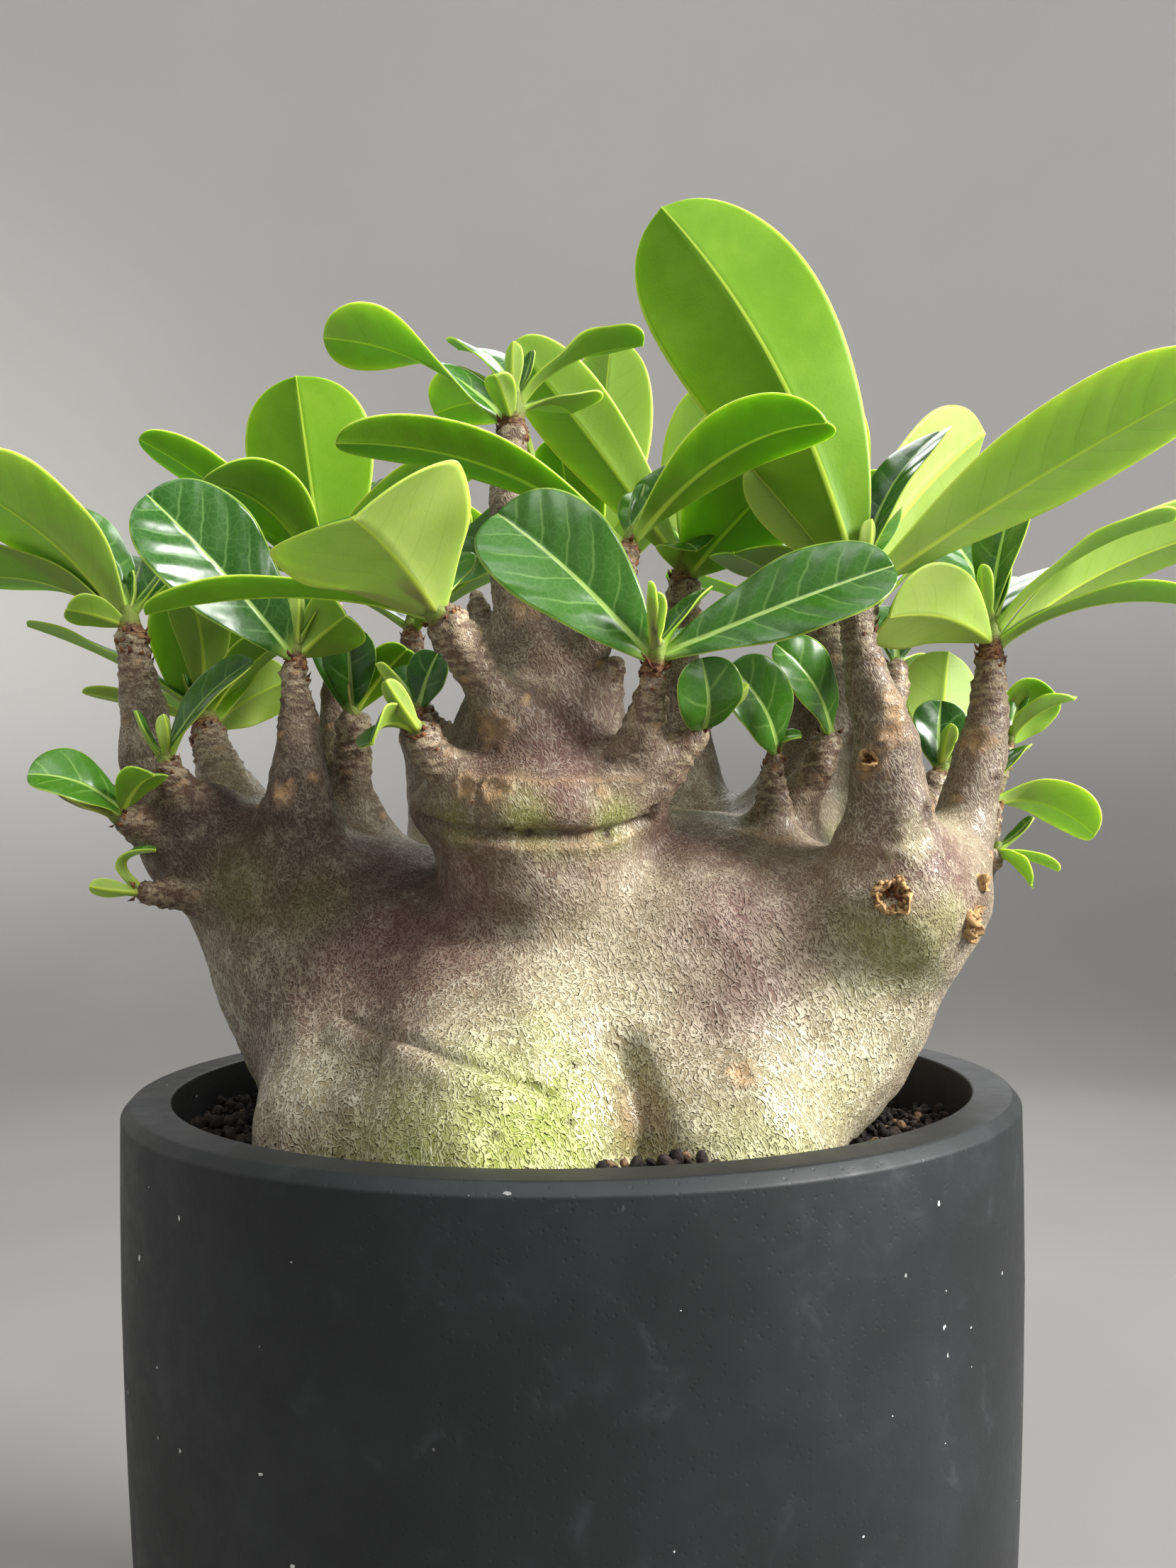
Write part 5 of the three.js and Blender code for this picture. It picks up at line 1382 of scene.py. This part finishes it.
def rule_leaf(draw, placed, row, index):
    """Turns and shortens a leaf until it has room, or gives it up."""
    shoot, count, length, width, middle, spread = row
    grown = min(1, (count - index) / 3)
    for attempt in range(TRIES):
        turn = (0.5 + GOLDEN_SHARE * index) % 1 - 0.5
        round_about = middle + spread * turn + (next(draw) - 0.5) * (20 + attempt * 4)
        above = 14 + 50 * (index + 0.5) / count + (next(draw) - 0.5) * (26 + attempt)
        size = length * (0.6 + 0.4 * grown) * (0.85 + 0.3 * next(draw)) * (1 - 0.012 * attempt)
        breadth = width * (0.65 + 0.35 * grown) * (0.9 + 0.2 * next(draw))
        droop = next(draw)
        root = next_root(placed, shoot)
        tip = root + facing(round_about, above) * size
        face = facing(round_about + 180, 90 - above)
        sweep = (next(draw) - 0.5) * size * 0.1
        fold = 0.12 + 0.12 * next(draw)
        leaf = leaf_between(shoot, root, tip, face, breadth, size * (0.03 + 0.09 * droop), sweep, fold)
        spots = blade_points(leaf, SPOT_SHARES, SPOT_ACROSS)
        if clear_of_bark(spots) and inside_canopy(spots, tip) and clear_of_leaves(spots, shoot, placed):
            leaf["spots"] = spots
            return leaf
    return None


def place_leaves():
    placed = []
    for shoot, rows in LEAVES.items():
        for tip, width, round_about, above, arch, sweep, *twist in rows:
            root, face = next_root(placed, shoot), facing(round_about, above)
            tip = np.array(tip, float)
            leaf = leaf_between(shoot, root, tip, face, width, arch, sweep, FRONT_FOLD, *twist)
            leaf["spots"] = blade_points(leaf, SPOT_SHARES, SPOT_ACROSS)
            placed.append(leaf)
    draw = random_run(RULE_SEED)
    for row in RULE:
        for index in range(row[1]):
            leaf = rule_leaf(draw, placed, row, index)
            if leaf:
                placed.append(leaf)
    return placed


all_leaves = place_leaves()
print(len(all_leaves), "leaves have room")

# %% [markdown]
# A real blade is thick at the stalk and thin at the margin. Its midrib is a round ridge below and a
# shallow groove above, and its margin waves a little. The cross-section is closed, so the leaf has
# a top, an underside and an edge; the top gets one finish, and the underside and the edge share
# another. The blade also carries flat coordinates in real size, along and across, on which the veins
# are drawn later.

# %% Fine blades
TOP_COLUMNS = np.array([-1, -0.93, -0.78, -0.58, -0.38, -0.2, -0.09, 0, 0.09, 0.2, 0.38, 0.58, 0.78, 0.93, 1])
BLADE_ROWS = 34
ROWS_TO_TIP = 1.6
BLADE_THICKNESS, STALK_THICKNESS, EDGE_THICKNESS = 0.55, 1.0, 0.16
STALK_SHARE = 0.28
leaf_random = np.random.default_rng(23)


def fine_blade(leaf):
    """Points of a closed blade, their flat coordinates, and their places across and along it."""
    rows = 1 - (1 - np.linspace(0, 1, BLADE_ROWS)) ** ROWS_TO_TIP
    share, across = np.meshgrid(rows, TOP_COLUMNS, indexing="ij")
    spot, _, up, side = blade_frame(leaf, share)
    half = half_width(leaf, share)
    bend = np.abs(across)
    valley = np.sqrt(bend ** 2 + 0.05 ** 2) - 0.05
    lift = leaf["fold"] * half * (1.3 * valley - 0.3 * bend ** 2)
    wave = leaf_random.uniform(0.25, 0.6) * leaf["width"] / 20
    phase, turns = leaf_random.uniform(0, 6, 2), leaf_random.uniform(1.6, 2.6)
    ripple = np.where(across > 0, np.sin(2 * np.pi * share * turns + phase[0]),
                      np.sin(2 * np.pi * share * turns + phase[1]))
    lift = lift + wave * ripple * bend ** 3 * np.sin(np.pi * np.clip(share, 0, 1))
    surface = spot + side * (across * half)[..., None] + up * lift[..., None]
    stalk = np.clip(1 - share / STALK_SHARE, 0, 1) ** 1.3
    thick = BLADE_THICKNESS + STALK_THICKNESS * stalk
    thick = thick * np.sqrt(np.clip(1 - 0.93 * bend ** 3, 0.02, 1)) + EDGE_THICKNESS * 0.5
    rib_reach = (0.95 - 0.6 * share) / np.maximum(half, 0.3)
    rib = np.exp(-(bend / np.maximum(rib_reach, 0.02)) ** 2)
    top = surface + up * (thick / 2 - 0.2 * rib * (1 - stalk))[..., None]
    bottom = surface - up * (thick / 2 + (0.55 - 0.4 * share) * rib)[..., None]
    flat = np.stack([share * leaf["length"] / 100, across * half / 100], -1)
    points = np.concatenate([top, bottom[:, ::-1]], 1).reshape(-1, 3)
    uv = np.concatenate([flat, flat[:, ::-1]], 1).reshape(-1, 2)
    edge = np.concatenate([across, across[:, ::-1]], 1).ravel()
    along = np.concatenate([share, share[:, ::-1]], 1).ravel()
    return points, uv, edge, along


def blade_faces(columns):
    """Faces of one blade with the finish of each: 0 above, 1 below and round the edge."""
    ring = 2 * columns
    faces, finish = [], []
    for row in range(BLADE_ROWS - 1):
        for k in range(ring):
            after = (k + 1) % ring
            faces.append([row * ring + k, row * ring + after, (row + 1) * ring + after, (row + 1) * ring + k])
            finish.append(0 if k < columns - 1 else 1)
    for row, flip in ((0, True), (BLADE_ROWS - 1, False)):
        for k in range(columns - 1):
            quad = [row * ring + k, row * ring + k + 1, row * ring + ring - 2 - k, row * ring + ring - 1 - k]
            faces.append(quad[::-1] if flip else quad)
            finish.append(1)
    return faces, finish


BLADE_FACES, BLADE_FINISH = blade_faces(len(TOP_COLUMNS))
BLADE_FACES = np.array(BLADE_FACES)
print("faces in a blade:", len(BLADE_FACES))

# %% [markdown]
# The upper face is dark, waxy and glossy, and its veins are pale: a strong midrib, and side veins
# that leave it at a steep angle, bend towards the tip and fade before the margin. The veins are
# drawn from the flat coordinates: equal steps along the blade, sheared by the distance from the
# midrib. The skin swells between them like a quilt.

# %% Vein pattern
VEIN_SPACING = 5.4
VEIN_SHEAR = 0.62
VEIN_BEND = 0.035
VEIN_WOBBLE = 2.2


def vein_lines(finish, spacing, bend):
    """Shares of midrib, side veins, swelling between them and margin, from the flat coordinates."""
    flat = finish.node("UVMap", {}, uv_map="flat")
    scaled = finish.node("VectorMath", {0: flat, 1: (100, 100, 0)}, operation="MULTIPLY")
    along = finish.node("SeparateXYZ", {0: scaled}, output=0)
    off = finish.node("SeparateXYZ", {0: scaled}, output=1)
    away = finish.maths("ABSOLUTE", off)
    wobble = finish.noise(finish.place(), 5, detail=2)
    sheared = finish.maths("SUBTRACT", along, finish.part(away, VEIN_SHEAR))
    bent = finish.maths("SUBTRACT", sheared, finish.part(finish.maths("POWER", away, 2.0), bend))
    moved = finish.maths("MULTIPLY_ADD", wobble, VEIN_WOBBLE, bent)
    shift = finish.maths("MULTIPLY", finish.maths("GREATER_THAN", off, 0.0), 0.5)
    phase = finish.maths("ADD", finish.maths("DIVIDE", moved, spacing), shift)
    fold = finish.maths("ABSOLUTE", finish.maths("SUBTRACT", finish.maths("FRACT", phase), 0.5))
    distance = finish.maths("MULTIPLY", fold, spacing)
    share = finish.attribute("share")
    edge = finish.maths("ABSOLUTE", finish.attribute("across"))
    fade = finish.band(edge, 0.55, 0.97, 1.0, 0.0)
    side = finish.part(finish.band(distance, 0.08, 0.36, 1.0, 0.0), fade)
    rib_width = finish.maths("MULTIPLY_ADD", share, -0.5, 0.68)
    rib = finish.band(finish.maths("DIVIDE", away, rib_width), 0.5, 1.05, 1.0, 0.0)
    quilt = finish.band(distance, 0.0, spacing * 0.5)
    margin = finish.band(edge, 0.955, 0.985)
    return rib, side, quilt, margin


def draw_veins(finish, blade, veins, shares, colours):
    """Lays side veins, midrib and margin over the blade, and the colour of the stalk at its foot."""
    rib, side, _, margin = veins
    for line, share, colour in zip((side, rib, margin), shares, colours):
        blade = finish.mix(finish.part(line, share), blade, colour)
    stalk = finish.band(finish.attribute("share"), 0.05, 0.16, 0.8, 0.0)
    return finish.mix(stalk, blade, colours[-1])


print("side veins every", VEIN_SPACING, "mm")

# %% Upper leaf finish
LEAF_DARK, LEAF_LIGHT, LEAF_MOTTLE = paint(34, 80, 20), paint(66, 118, 26), paint(56, 104, 30)
NET, SIDE_VEIN_DARK, SIDE_VEIN_LIGHT = paint(112, 150, 80), paint(118, 160, 92), paint(146, 184, 92)
RIB, MARGIN, STALK = paint(164, 196, 100), paint(160, 188, 80), paint(150, 182, 76)
NET_GAP = 1.5

upper_finish = Finish("leaf above", roughness=0.3, specular=0.5)
veins = vein_lines(upper_finish, VEIN_SPACING, VEIN_BEND)
tone = upper_finish.attribute("tone")
mottle = upper_finish.noise(upper_finish.place(), 6, detail=4)
# A leaf's tone is random, and for some leaves in front it is painted light and shade
blade = upper_finish.mix(tone, LEAF_DARK, LEAF_LIGHT)
blade = upper_finish.mix(upper_finish.band(mottle, 0.35, 0.75, 0, 0.35), blade, LEAF_MOTTLE)
net = upper_finish.node("TexVoronoi", {"Vector": upper_finish.place(), "Scale": 1 / NET_GAP},
                        feature="DISTANCE_TO_EDGE")
blade = upper_finish.mix(upper_finish.band(net, 0.0, 0.1, 0.16, 0.0), blade, NET)
vein_colour = upper_finish.mix(tone, SIDE_VEIN_DARK, SIDE_VEIN_LIGHT)
blade = draw_veins(upper_finish, blade, veins, (0.36, 0.9, 0.6), (vein_colour, RIB, MARGIN, STALK))
fine = upper_finish.noise(upper_finish.place(), 0.8, detail=3)
skin = upper_finish.bump(veins[2], 0.2, strength=0.7)
skin = upper_finish.bump(fine, 0.02, below=skin, strength=0.5)
upper_leaf = upper_finish.close(blade, skin, upper_finish.band(mottle, 0.3, 0.8, 0.24, 0.38))
print("nodes in the upper finish:", len(upper_finish.tree.nodes))

# %% [markdown]
# Below, the leaf is matt and yellow-green, with darker side veins, and it lets light through: a leaf
# against the light glows. Subsurface light does that, strong below and weak above.

# %% Lower leaf finish
UNDER_DARK, UNDER_LIGHT, UNDER_MOTTLE = paint(100, 142, 8), paint(166, 186, 98), paint(134, 166, 44)
UNDER_VEIN, UNDER_RIB = paint(92, 136, 30), paint(190, 212, 80)
UNDER_MARGIN, UNDER_STALK = paint(180, 208, 88), paint(162, 194, 84)
GLOW_COLOUR, GLOW_DEPTH = (0.75, 1.0, 0.3), 2.2

under_finish = Finish("leaf below", roughness=0.5, specular=0.2)
veins = vein_lines(under_finish, VEIN_SPACING, VEIN_BEND)
mottle = under_finish.noise(under_finish.place(), 7, detail=4)
# A leaf's tone is random, and for some leaves in front it is painted light and shade
blade = under_finish.mix(under_finish.attribute("tone"), UNDER_DARK, UNDER_LIGHT)
blade = under_finish.mix(under_finish.band(mottle, 0.35, 0.7, 0, 0.3), blade, UNDER_MOTTLE)
blade = draw_veins(under_finish, blade, veins, (0.14, 0.8, 0.65),
                   (UNDER_VEIN, UNDER_RIB, UNDER_MARGIN, UNDER_STALK))
fine = under_finish.noise(under_finish.place(), 0.5, detail=3)
under_leaf = under_finish.close(blade, under_finish.bump(fine, 0.04, strength=0.6))
for finish, glow in ((upper_finish, 0.2), (under_finish, 0.75)):
    finish.shader.inputs["Subsurface Weight"].default_value = glow
    finish.shader.inputs["Subsurface Radius"].default_value = GLOW_COLOUR
    finish.shader.inputs["Subsurface Scale"].default_value = GLOW_DEPTH * MM
print("nodes in the lower finish:", len(under_finish.tree.nodes))

# %% [markdown]
# Each leafy shoot is one piece, as it is on the plant: blades that grow out of a common green bud.
# The bud is a small turned cone, and one or two new leaves stand up from it. Their bases sink into
# the bud, where the real ones clasp the stem.

# %% Neck of a shoot
NECK_BROWN, NECK_TAN, NECK_GREEN = paint(84, 48, 34), paint(164, 124, 84), paint(122, 140, 58)
BUD_SIDES = 24
BUD_RING_GAP = 0.45
BUD_RIDGE = 0.07

neck_finish = Finish("shoot neck", roughness=0.6, specular=0.35)
flake = neck_finish.noise(neck_finish.place((1, 1, 2)), 0.9, detail=4, roughness=0.7)
ragged_rise = neck_finish.maths("MULTIPLY_ADD", flake, 0.5, neck_finish.attribute("share"))
neck_colour = neck_finish.mix(neck_finish.band(flake, 0.4, 0.65), NECK_BROWN, NECK_TAN)
neck_colour = neck_finish.mix(neck_finish.band(ragged_rise, 0.55, 0.85), neck_colour, NECK_GREEN)
neck = neck_finish.close(neck_colour, neck_finish.bump(flake, 0.2, strength=0.9))


def bud_shape(name, leaf_count):
    """The neck of a shoot: a ringed cone, brown below and green on top."""
    end, along, radius = limb_end(name)
    tall = FIRST_LEAF_RISE + LEAF_STEP * leaf_count + 1.0
    profile = [(0, 0)]
    rings = int(tall / BUD_RING_GAP)
    for k in range(rings + 1):
        share = k / rings
        ridge = 1 + BUD_RIDGE * (k % 2) * (1 - share)
        profile.append((radius * 0.97 * ridge * (1 - 0.62 * share ** 1.3), share * tall * 0.93))
    profile.append((0, tall))
    points, faces = turned(profile, BUD_SIDES)
    points = np.array(points)
    rise = points[:, 2] / tall
    points[:, :2] *= (1 + 0.06 * wander(points, 2.2, 60))[:, None]
    side = unit(np.cross((0.0, 1.0, 0.0), along))
    turn = np.stack([side, np.cross(along, side), along])
    return points @ turn + end + along * 0.1, faces, rise


print("rings up the neck of the tower:", int((FIRST_LEAF_RISE + 1.0) / BUD_RING_GAP), "or more")

# %% Young leaves in the heart
YOUNG_WIDTH, YOUNG_ARCH, YOUNG_FOLD = 3.4, -0.6, 0.3
THIN_SHOOT = 2.1


def young_leaves(name, leaf_count):
    """One or two small upright leaves in the heart of the shoot."""
    end, along, radius = limb_end(name)
    heart = end + along * (FIRST_LEAF_RISE + LEAF_STEP * leaf_count)
    made = []
    for _ in range(2 if radius > THIN_SHOOT else 1):
        round_about = leaf_random.uniform(0, 360)
        tip = heart + along * leaf_random.uniform(6, 10)
        tip = tip + facing(round_about, 0) * leaf_random.uniform(1.5, 3.5)
        made.append(leaf_between(name, heart - along * 0.8, tip, facing(round_about + 180, 10), YOUNG_WIDTH,
                                 YOUNG_ARCH, 0, YOUNG_FOLD))
    return made


print("young leaves are", YOUNG_WIDTH, "mm wide")

# %% Leafy shoots
NARROW_LEAF, FRESH = 6, 0.9
# Painted light and shade of some leaves that show in front: their tone, from 0 for a dark leaf
# against the light to 1 for a pale leaf in full light
LEAF_PAINTED_LIGHT_AND_SHADE = {
    ("right front", 0): 0.0, ("right front", 2): 0.95, ("right outer", 0): 0.7, ("right outer", 2): 0.9,
    ("left rear", 0): 0.05, ("left outer", 0): 0.65, ("left outer", 1): 0.3, ("front left twig", 0): 1.0,
    ("tower side twig", 0): 0.15, ("tower side twig", 1): 0.1, ("left inner", 0): 0.1,
    ("middle rear", 0): 0.15, ("left rear", 2): 0.2, ("tower", 0): 0.5,
}


def make_shoot(name):
    """Joins the blades and the bud of one shoot into a piece; limbs without leaves make none."""
    own = [leaf for leaf in all_leaves if leaf["shoot"] == name]
    if not own:
        return
    points, faces, finish, uv, marks = [], [], [], [], {"tone": [], "share": [], "across": []}
    start = 0
    for index, leaf in enumerate(own + young_leaves(name, len(own))):
        blade, flat, edge, along = fine_blade(leaf)
        points.append(blade)
        faces += (BLADE_FACES + start).tolist()
        finish += BLADE_FINISH
        uv.append(flat)
        shade = FRESH if leaf["width"] < NARROW_LEAF else leaf_random.random()
        shade = LEAF_PAINTED_LIGHT_AND_SHADE.get((name, index), shade)
        marks["tone"].append(np.full(len(blade), shade))
        marks["share"].append(along)
        marks["across"].append(edge)
        start += len(blade)
    bud_points, bud_faces, bud_rise = bud_shape(name, len(own))
    points.append(bud_points)
    faces += [[k + start for k in face] for face in bud_faces]
    finish += [2] * len(bud_faces)
    uv.append(np.zeros((len(bud_points), 2)))
    marks["tone"].append(np.full(len(bud_points), 0.6))
    marks["share"].append(bud_rise)
    marks["across"].append(np.zeros(len(bud_points)))
    label = name.replace(" ", "_")
    marks = {mark: np.concatenate(values) for mark, values in marks.items()}
    make_piece("shoot_" + label, np.concatenate(points) + np.array([0, 0, RIM]), faces,
               [upper_leaf, under_leaf, neck], ["leaves_" + label], finish, marks, np.concatenate(uv))


for shoot_name in LIMBS:
    make_shoot(shoot_name)

# %% [markdown]
# Two small things tell the age of the plant. Old cuts are ragged stubs that stand off the bark, with
# crumbling wood in their dished ends, cream and brown. And every shoot wears a collar of dry, dark
# scales where the last leaves dropped. A turned shape gives the rim of a stub, and lumps its crumbs.

# %% Shape of an old cut
# Of each cut: its place, the way it looks and its radius
CUTS = [((50.2, -44.2, 33.8), (-0.15, -1.0, 0.1), 2.9), ((63.0, -37.6, 29.7), (0.85, -0.5, -0.3), 2.7),
        ((66.2, -36.4, 35.7), (0.9, -0.35, 0.1), 1.5), ((47.6, -43.4, 55.2), (-0.3, -1.0, 0.3), 1.4)]
STUB_PROFILE = [(0, -0.8), (1.3, -0.8), (1.12, -0.2), (0.98, 0.15), (0.96, 0.5), (1.0, 0.8), (0.88, 0.92),
                (0.7, 0.72), (0.4, 0.36), (0, 0.3)]
STUB_SIDES = 28


def cut_spots(random):
    """Crumbs of wood that fill the dished ends of the stubs."""
    spots = []
    for place, out, size in CUTS:
        out = unit(np.array(out))
        side = unit(np.cross(out, (0, 0, 1)))
        other = np.cross(out, side)
        for _ in range(int(10 + 16 * size)):
            reach = random.uniform(0.1, 0.95)
            rise = (0.3 + 0.55 * reach ** 2 + random.uniform(-0.1, 0.15)) * size
            light = 0.1 + 0.75 * reach ** 2 * random.uniform(0.5, 1.1)
            reach *= size
            angle = random.uniform(0, 2 * math.pi)
            middle = np.array(place) + side * reach * math.cos(angle) + other * reach * math.sin(angle)
            middle = middle + out * rise + np.array([0, 0, RIM])
            spots.append((middle, random.uniform(0.14, 0.32) * size ** 0.6, 0.6, light))
    return spots


def stub(place, out, size):
    """The dry stub itself: a short rough cylinder that starts under the bark."""
    points, faces = turned([(r * size, h * size) for r, h in STUB_PROFILE], STUB_SIDES)
    points = np.array(points)
    light = np.clip(np.linalg.norm(points[:, :2], axis=1) / size, 0.1, 0.7)
    light = light * (0.75 + 0.25 * wander(points, 1.2, 63))
    points[:, :2] *= (1 + 0.2 * wander(points, 2.0, 61))[:, None]
    points[:, 2] += 0.26 * size * wander(points, 1.1, 62)
    out = unit(np.array(out))
    side = unit(np.cross(out, (0, 0, 1)))
    points = points @ np.stack([side, np.cross(out, side), out]) + np.array(place) + np.array([0, 0, RIM])
    return points, faces, light


print("old cuts:", len(CUTS))

# %% Old cuts
WOOD_BROWN, WOOD_TAN = paint(88, 52, 30), paint(196, 160, 112)
WOOD_CREAM, WOOD_DARK = paint(222, 200, 160), paint(70, 42, 26)

cut_random = np.random.default_rng(31)
cut_points, cut_faces, cut_tones = lumps(cut_spots(cut_random), cut_random)
cut_faces = cut_faces.tolist()
for place, out, size in CUTS:
    stub_points, stub_faces, stub_light = stub(place, out, size)
    cut_faces += [[k + len(cut_points) for k in face] for face in stub_faces]
    cut_points = np.concatenate([cut_points, stub_points])
    cut_tones = np.concatenate([cut_tones, stub_light])
cut_finish = Finish("crumbled wood", roughness=0.85, specular=0.2)
tone = cut_finish.attribute("tone")
crumb = cut_finish.noise(cut_finish.place(), 0.6, detail=4, roughness=0.7)
wood = cut_finish.mix(cut_finish.band(tone, 0.2, 0.6), WOOD_BROWN, WOOD_TAN)
wood = cut_finish.mix(cut_finish.band(tone, 0.75, 0.95), wood, WOOD_CREAM)
wood = cut_finish.mix(cut_finish.band(crumb, 0.55, 0.75, 0, 0.5), wood, WOOD_DARK)
crumbled = cut_finish.close(wood, cut_finish.bump(crumb, 0.2, strength=0.8))
make_piece("old_cuts", cut_points, cut_faces, [crumbled], marks={"tone": cut_tones})

# %% Dry scales round the shoots
HUSK_DARK, HUSK_LIGHT, HUSK_FLECK = paint(58, 24, 18), paint(142, 92, 58), paint(34, 20, 14)
SCALE_FACES = [[3, 2, 1, 0], [0, 1, 4], [1, 2, 4], [2, 3, 4], [3, 0, 4]]


def scale_shape(root, up, out, size):
    """A small pointed scale, standing off the bark: four corners below and a tip."""
    side = np.cross(up, out)
    base = root - out * 0.35
    corners = [base - side * 0.5 * size, base + side * 0.5 * size, base + side * 0.42 * size + out * 0.55,
               base - side * 0.42 * size + out * 0.55]
    tip = root + up * size * 1.25 + out * (0.25 + 0.5 * size)
    return corners + [tip]


def dry_scales(random):
    """A collar of scales at the end of every limb that carries leaves."""
    points, faces, tones = [], [], []
    for name in LIMBS:
        if not any(leaf["shoot"] == name for leaf in all_leaves):
            continue
        end, along, radius = limb_end(name)
        side = unit(np.cross((0.0, 1.0, 0.0), along))
        other = np.cross(along, side)
        for k in range(int(10 + 6 * radius)):
            turn = k * GOLDEN_ANGLE + random.uniform(-0.4, 0.4)
            out = math.cos(turn) * side + math.sin(turn) * other
            root = end + along * random.uniform(-5.5, 2.6) + out * radius * 0.94
            size = random.uniform(0.55, 1.3)
            start = len(points)
            points += scale_shape(root, along, out, size)
            faces += [[start + v for v in face] for face in SCALE_FACES]
            tones += [random.random()] * 5
    return points, faces, tones


scale_points, scale_faces, scale_tones = dry_scales(np.random.default_rng(37))
scale_finish = Finish("dry scale", roughness=0.7, specular=0.3)
tone = scale_finish.attribute("tone")
fleck = scale_finish.noise(scale_finish.place(), 0.5, detail=3)
husk = scale_finish.mix(tone, HUSK_DARK, HUSK_LIGHT)
husk = scale_finish.mix(scale_finish.band(fleck, 0.5, 0.75, 0, 0.5), husk, HUSK_FLECK)
dry = scale_finish.close(husk, scale_finish.bump(fleck, 0.1))
make_piece("dry_scales", np.array(scale_points) + np.array([0, 0, RIM]), scale_faces, [dry],
           marks={"tone": scale_tones})

# %% [markdown]
# The studio is a pale dish: a flat floor that curves up into a wall all round, so that no edge shows
# behind the plant from any side. The floor is painted a darker grey than the wall: painted shade,
# so that the floor, which the lamps light most, looks about as grey as the wall.

# %% Stage
STAGE_RADIUS = 900.0
STAGE_CURVE = 700.0
STAGE_HEIGHT = 2600.0
STAGE_SIDES = 96
CURVE_STEPS = 16
FLOOR_RINGS = (200, 400, 650)
PAINTED_SHADE_FLOOR_TONE, WALL_TONE, CLOUD_TONE = paint(128, 127, 125), paint(226, 224, 221), paint(196, 195, 192)
WALL_FROM = 600


def stage_dish():
    """Points and faces of the dish, open at the top."""
    bend = [(STAGE_RADIUS + STAGE_CURVE * math.sin(a), STAGE_CURVE * (1 - math.cos(a)))
            for a in np.linspace(0, math.pi / 2, CURVE_STEPS)]
    top = (STAGE_RADIUS + STAGE_CURVE, STAGE_HEIGHT)
    profile = [(0, 0)] + [(r, 0) for r in FLOOR_RINGS] + bend + [top]
    angles = 2 * np.pi * np.arange(STAGE_SIDES) / STAGE_SIDES
    points = [(0, 0, 0)] + [(r * math.cos(a), r * math.sin(a), z) for r, z in profile[1:] for a in angles]
    faces = [[0, 1 + k, 1 + (k + 1) % STAGE_SIDES] for k in range(STAGE_SIDES)]
    for row in range(len(profile) - 2):
        low, high = 1 + row * STAGE_SIDES, 1 + (row + 1) * STAGE_SIDES
        for k in range(STAGE_SIDES):
            after = (k + 1) % STAGE_SIDES
            faces.append([low + k, high + k, high + after, low + after])
    return np.array(points) * MM, faces


dish_points, dish_faces = stage_dish()
dish_mesh = bpy.data.meshes.new("stage")
dish_mesh.from_pydata(dish_points.tolist(), [], dish_faces)
dish_mesh.polygons.foreach_set("use_smooth", np.ones(len(dish_mesh.polygons), bool))
stage_finish = Finish("pale stage", roughness=0.9, specular=0.1)
stage_cloud = stage_finish.noise(stage_finish.place(), 600, detail=3)
stage_height = stage_finish.node("SeparateXYZ", {0: stage_finish.place()}, output=2)
# Darker towards the floor: painted shade on the floor, which the lamps light most
stage_colour = stage_finish.mix(stage_finish.band(stage_height, 0, WALL_FROM), PAINTED_SHADE_FLOOR_TONE, WALL_TONE)
stage_colour = stage_finish.mix(stage_finish.band(stage_cloud, 0.3, 0.7, 0, 0.15), stage_colour, CLOUD_TONE)
dish_mesh.materials.append(stage_finish.close(stage_colour))
dish = bpy.data.objects.new("stage", dish_mesh)
bpy.context.scene.collection.objects.link(dish)
print("stage:", len(dish_faces), "faces")

# %% [markdown]
# The main light is a window to the right and in front, which draws the wrinkles and the folds and
# leaves the left side in half shade. A wide ceiling fills from above, a lamp in front shows the
# trunk, and a lamp behind rims the branches and shines through the leaves.

# %% Lights
COOL, WARM, GREENISH = (0.98, 0.99, 1.0), (1.0, 0.99, 0.97), (0.98, 1.0, 1.0)
WORLD_COLOUR, WORLD_LIGHT = (0.97, 0.98, 1.0, 1), 0.14


def lamp_panel(name, place, aim, width, height, power, colour, spread=180):
    """A flat lamp in metres and watts that looks at a point; a small spread keeps its light together."""
    data = bpy.data.lights.new(name, "AREA")
    data.shape = "RECTANGLE"
    data.size, data.size_y = width, height
    data.energy = power
    data.spread = math.radians(spread)
    data.color = colour
    lamp = bpy.data.objects.new(name, data)
    lamp.location = place
    lamp.rotation_euler = (Vector(aim) - Vector(place)).to_track_quat("-Z", "Y").to_euler()
    lamp.visible_camera = False
    bpy.context.scene.collection.objects.link(lamp)


lamp_panel("ceiling", (0, 0, 2.5), (0, 0, 0), 2.2, 2.2, 13, COOL)
lamp_panel("window", (1.25, -0.46, 0.90), (0, 0, 0.2), 0.5, 0.7, 12, WARM, 80)
lamp_panel("front", (-0.05, -0.75, 1.35), (0, 0, 0.2), 0.9, 0.5, 6.8, COOL)
lamp_panel("behind", (0.30, 0.80, 0.95), (0, 0, 0.25), 0.8, 0.6, 7, GREENISH)
world = bpy.data.worlds.new("room")
world.use_nodes = True
for socket, value in enumerate((WORLD_COLOUR, WORLD_LIGHT)):
    world.node_tree.nodes["Background"].inputs[socket].default_value = value
bpy.context.scene.world = world
bpy.context.scene.view_settings.view_transform = "Standard"
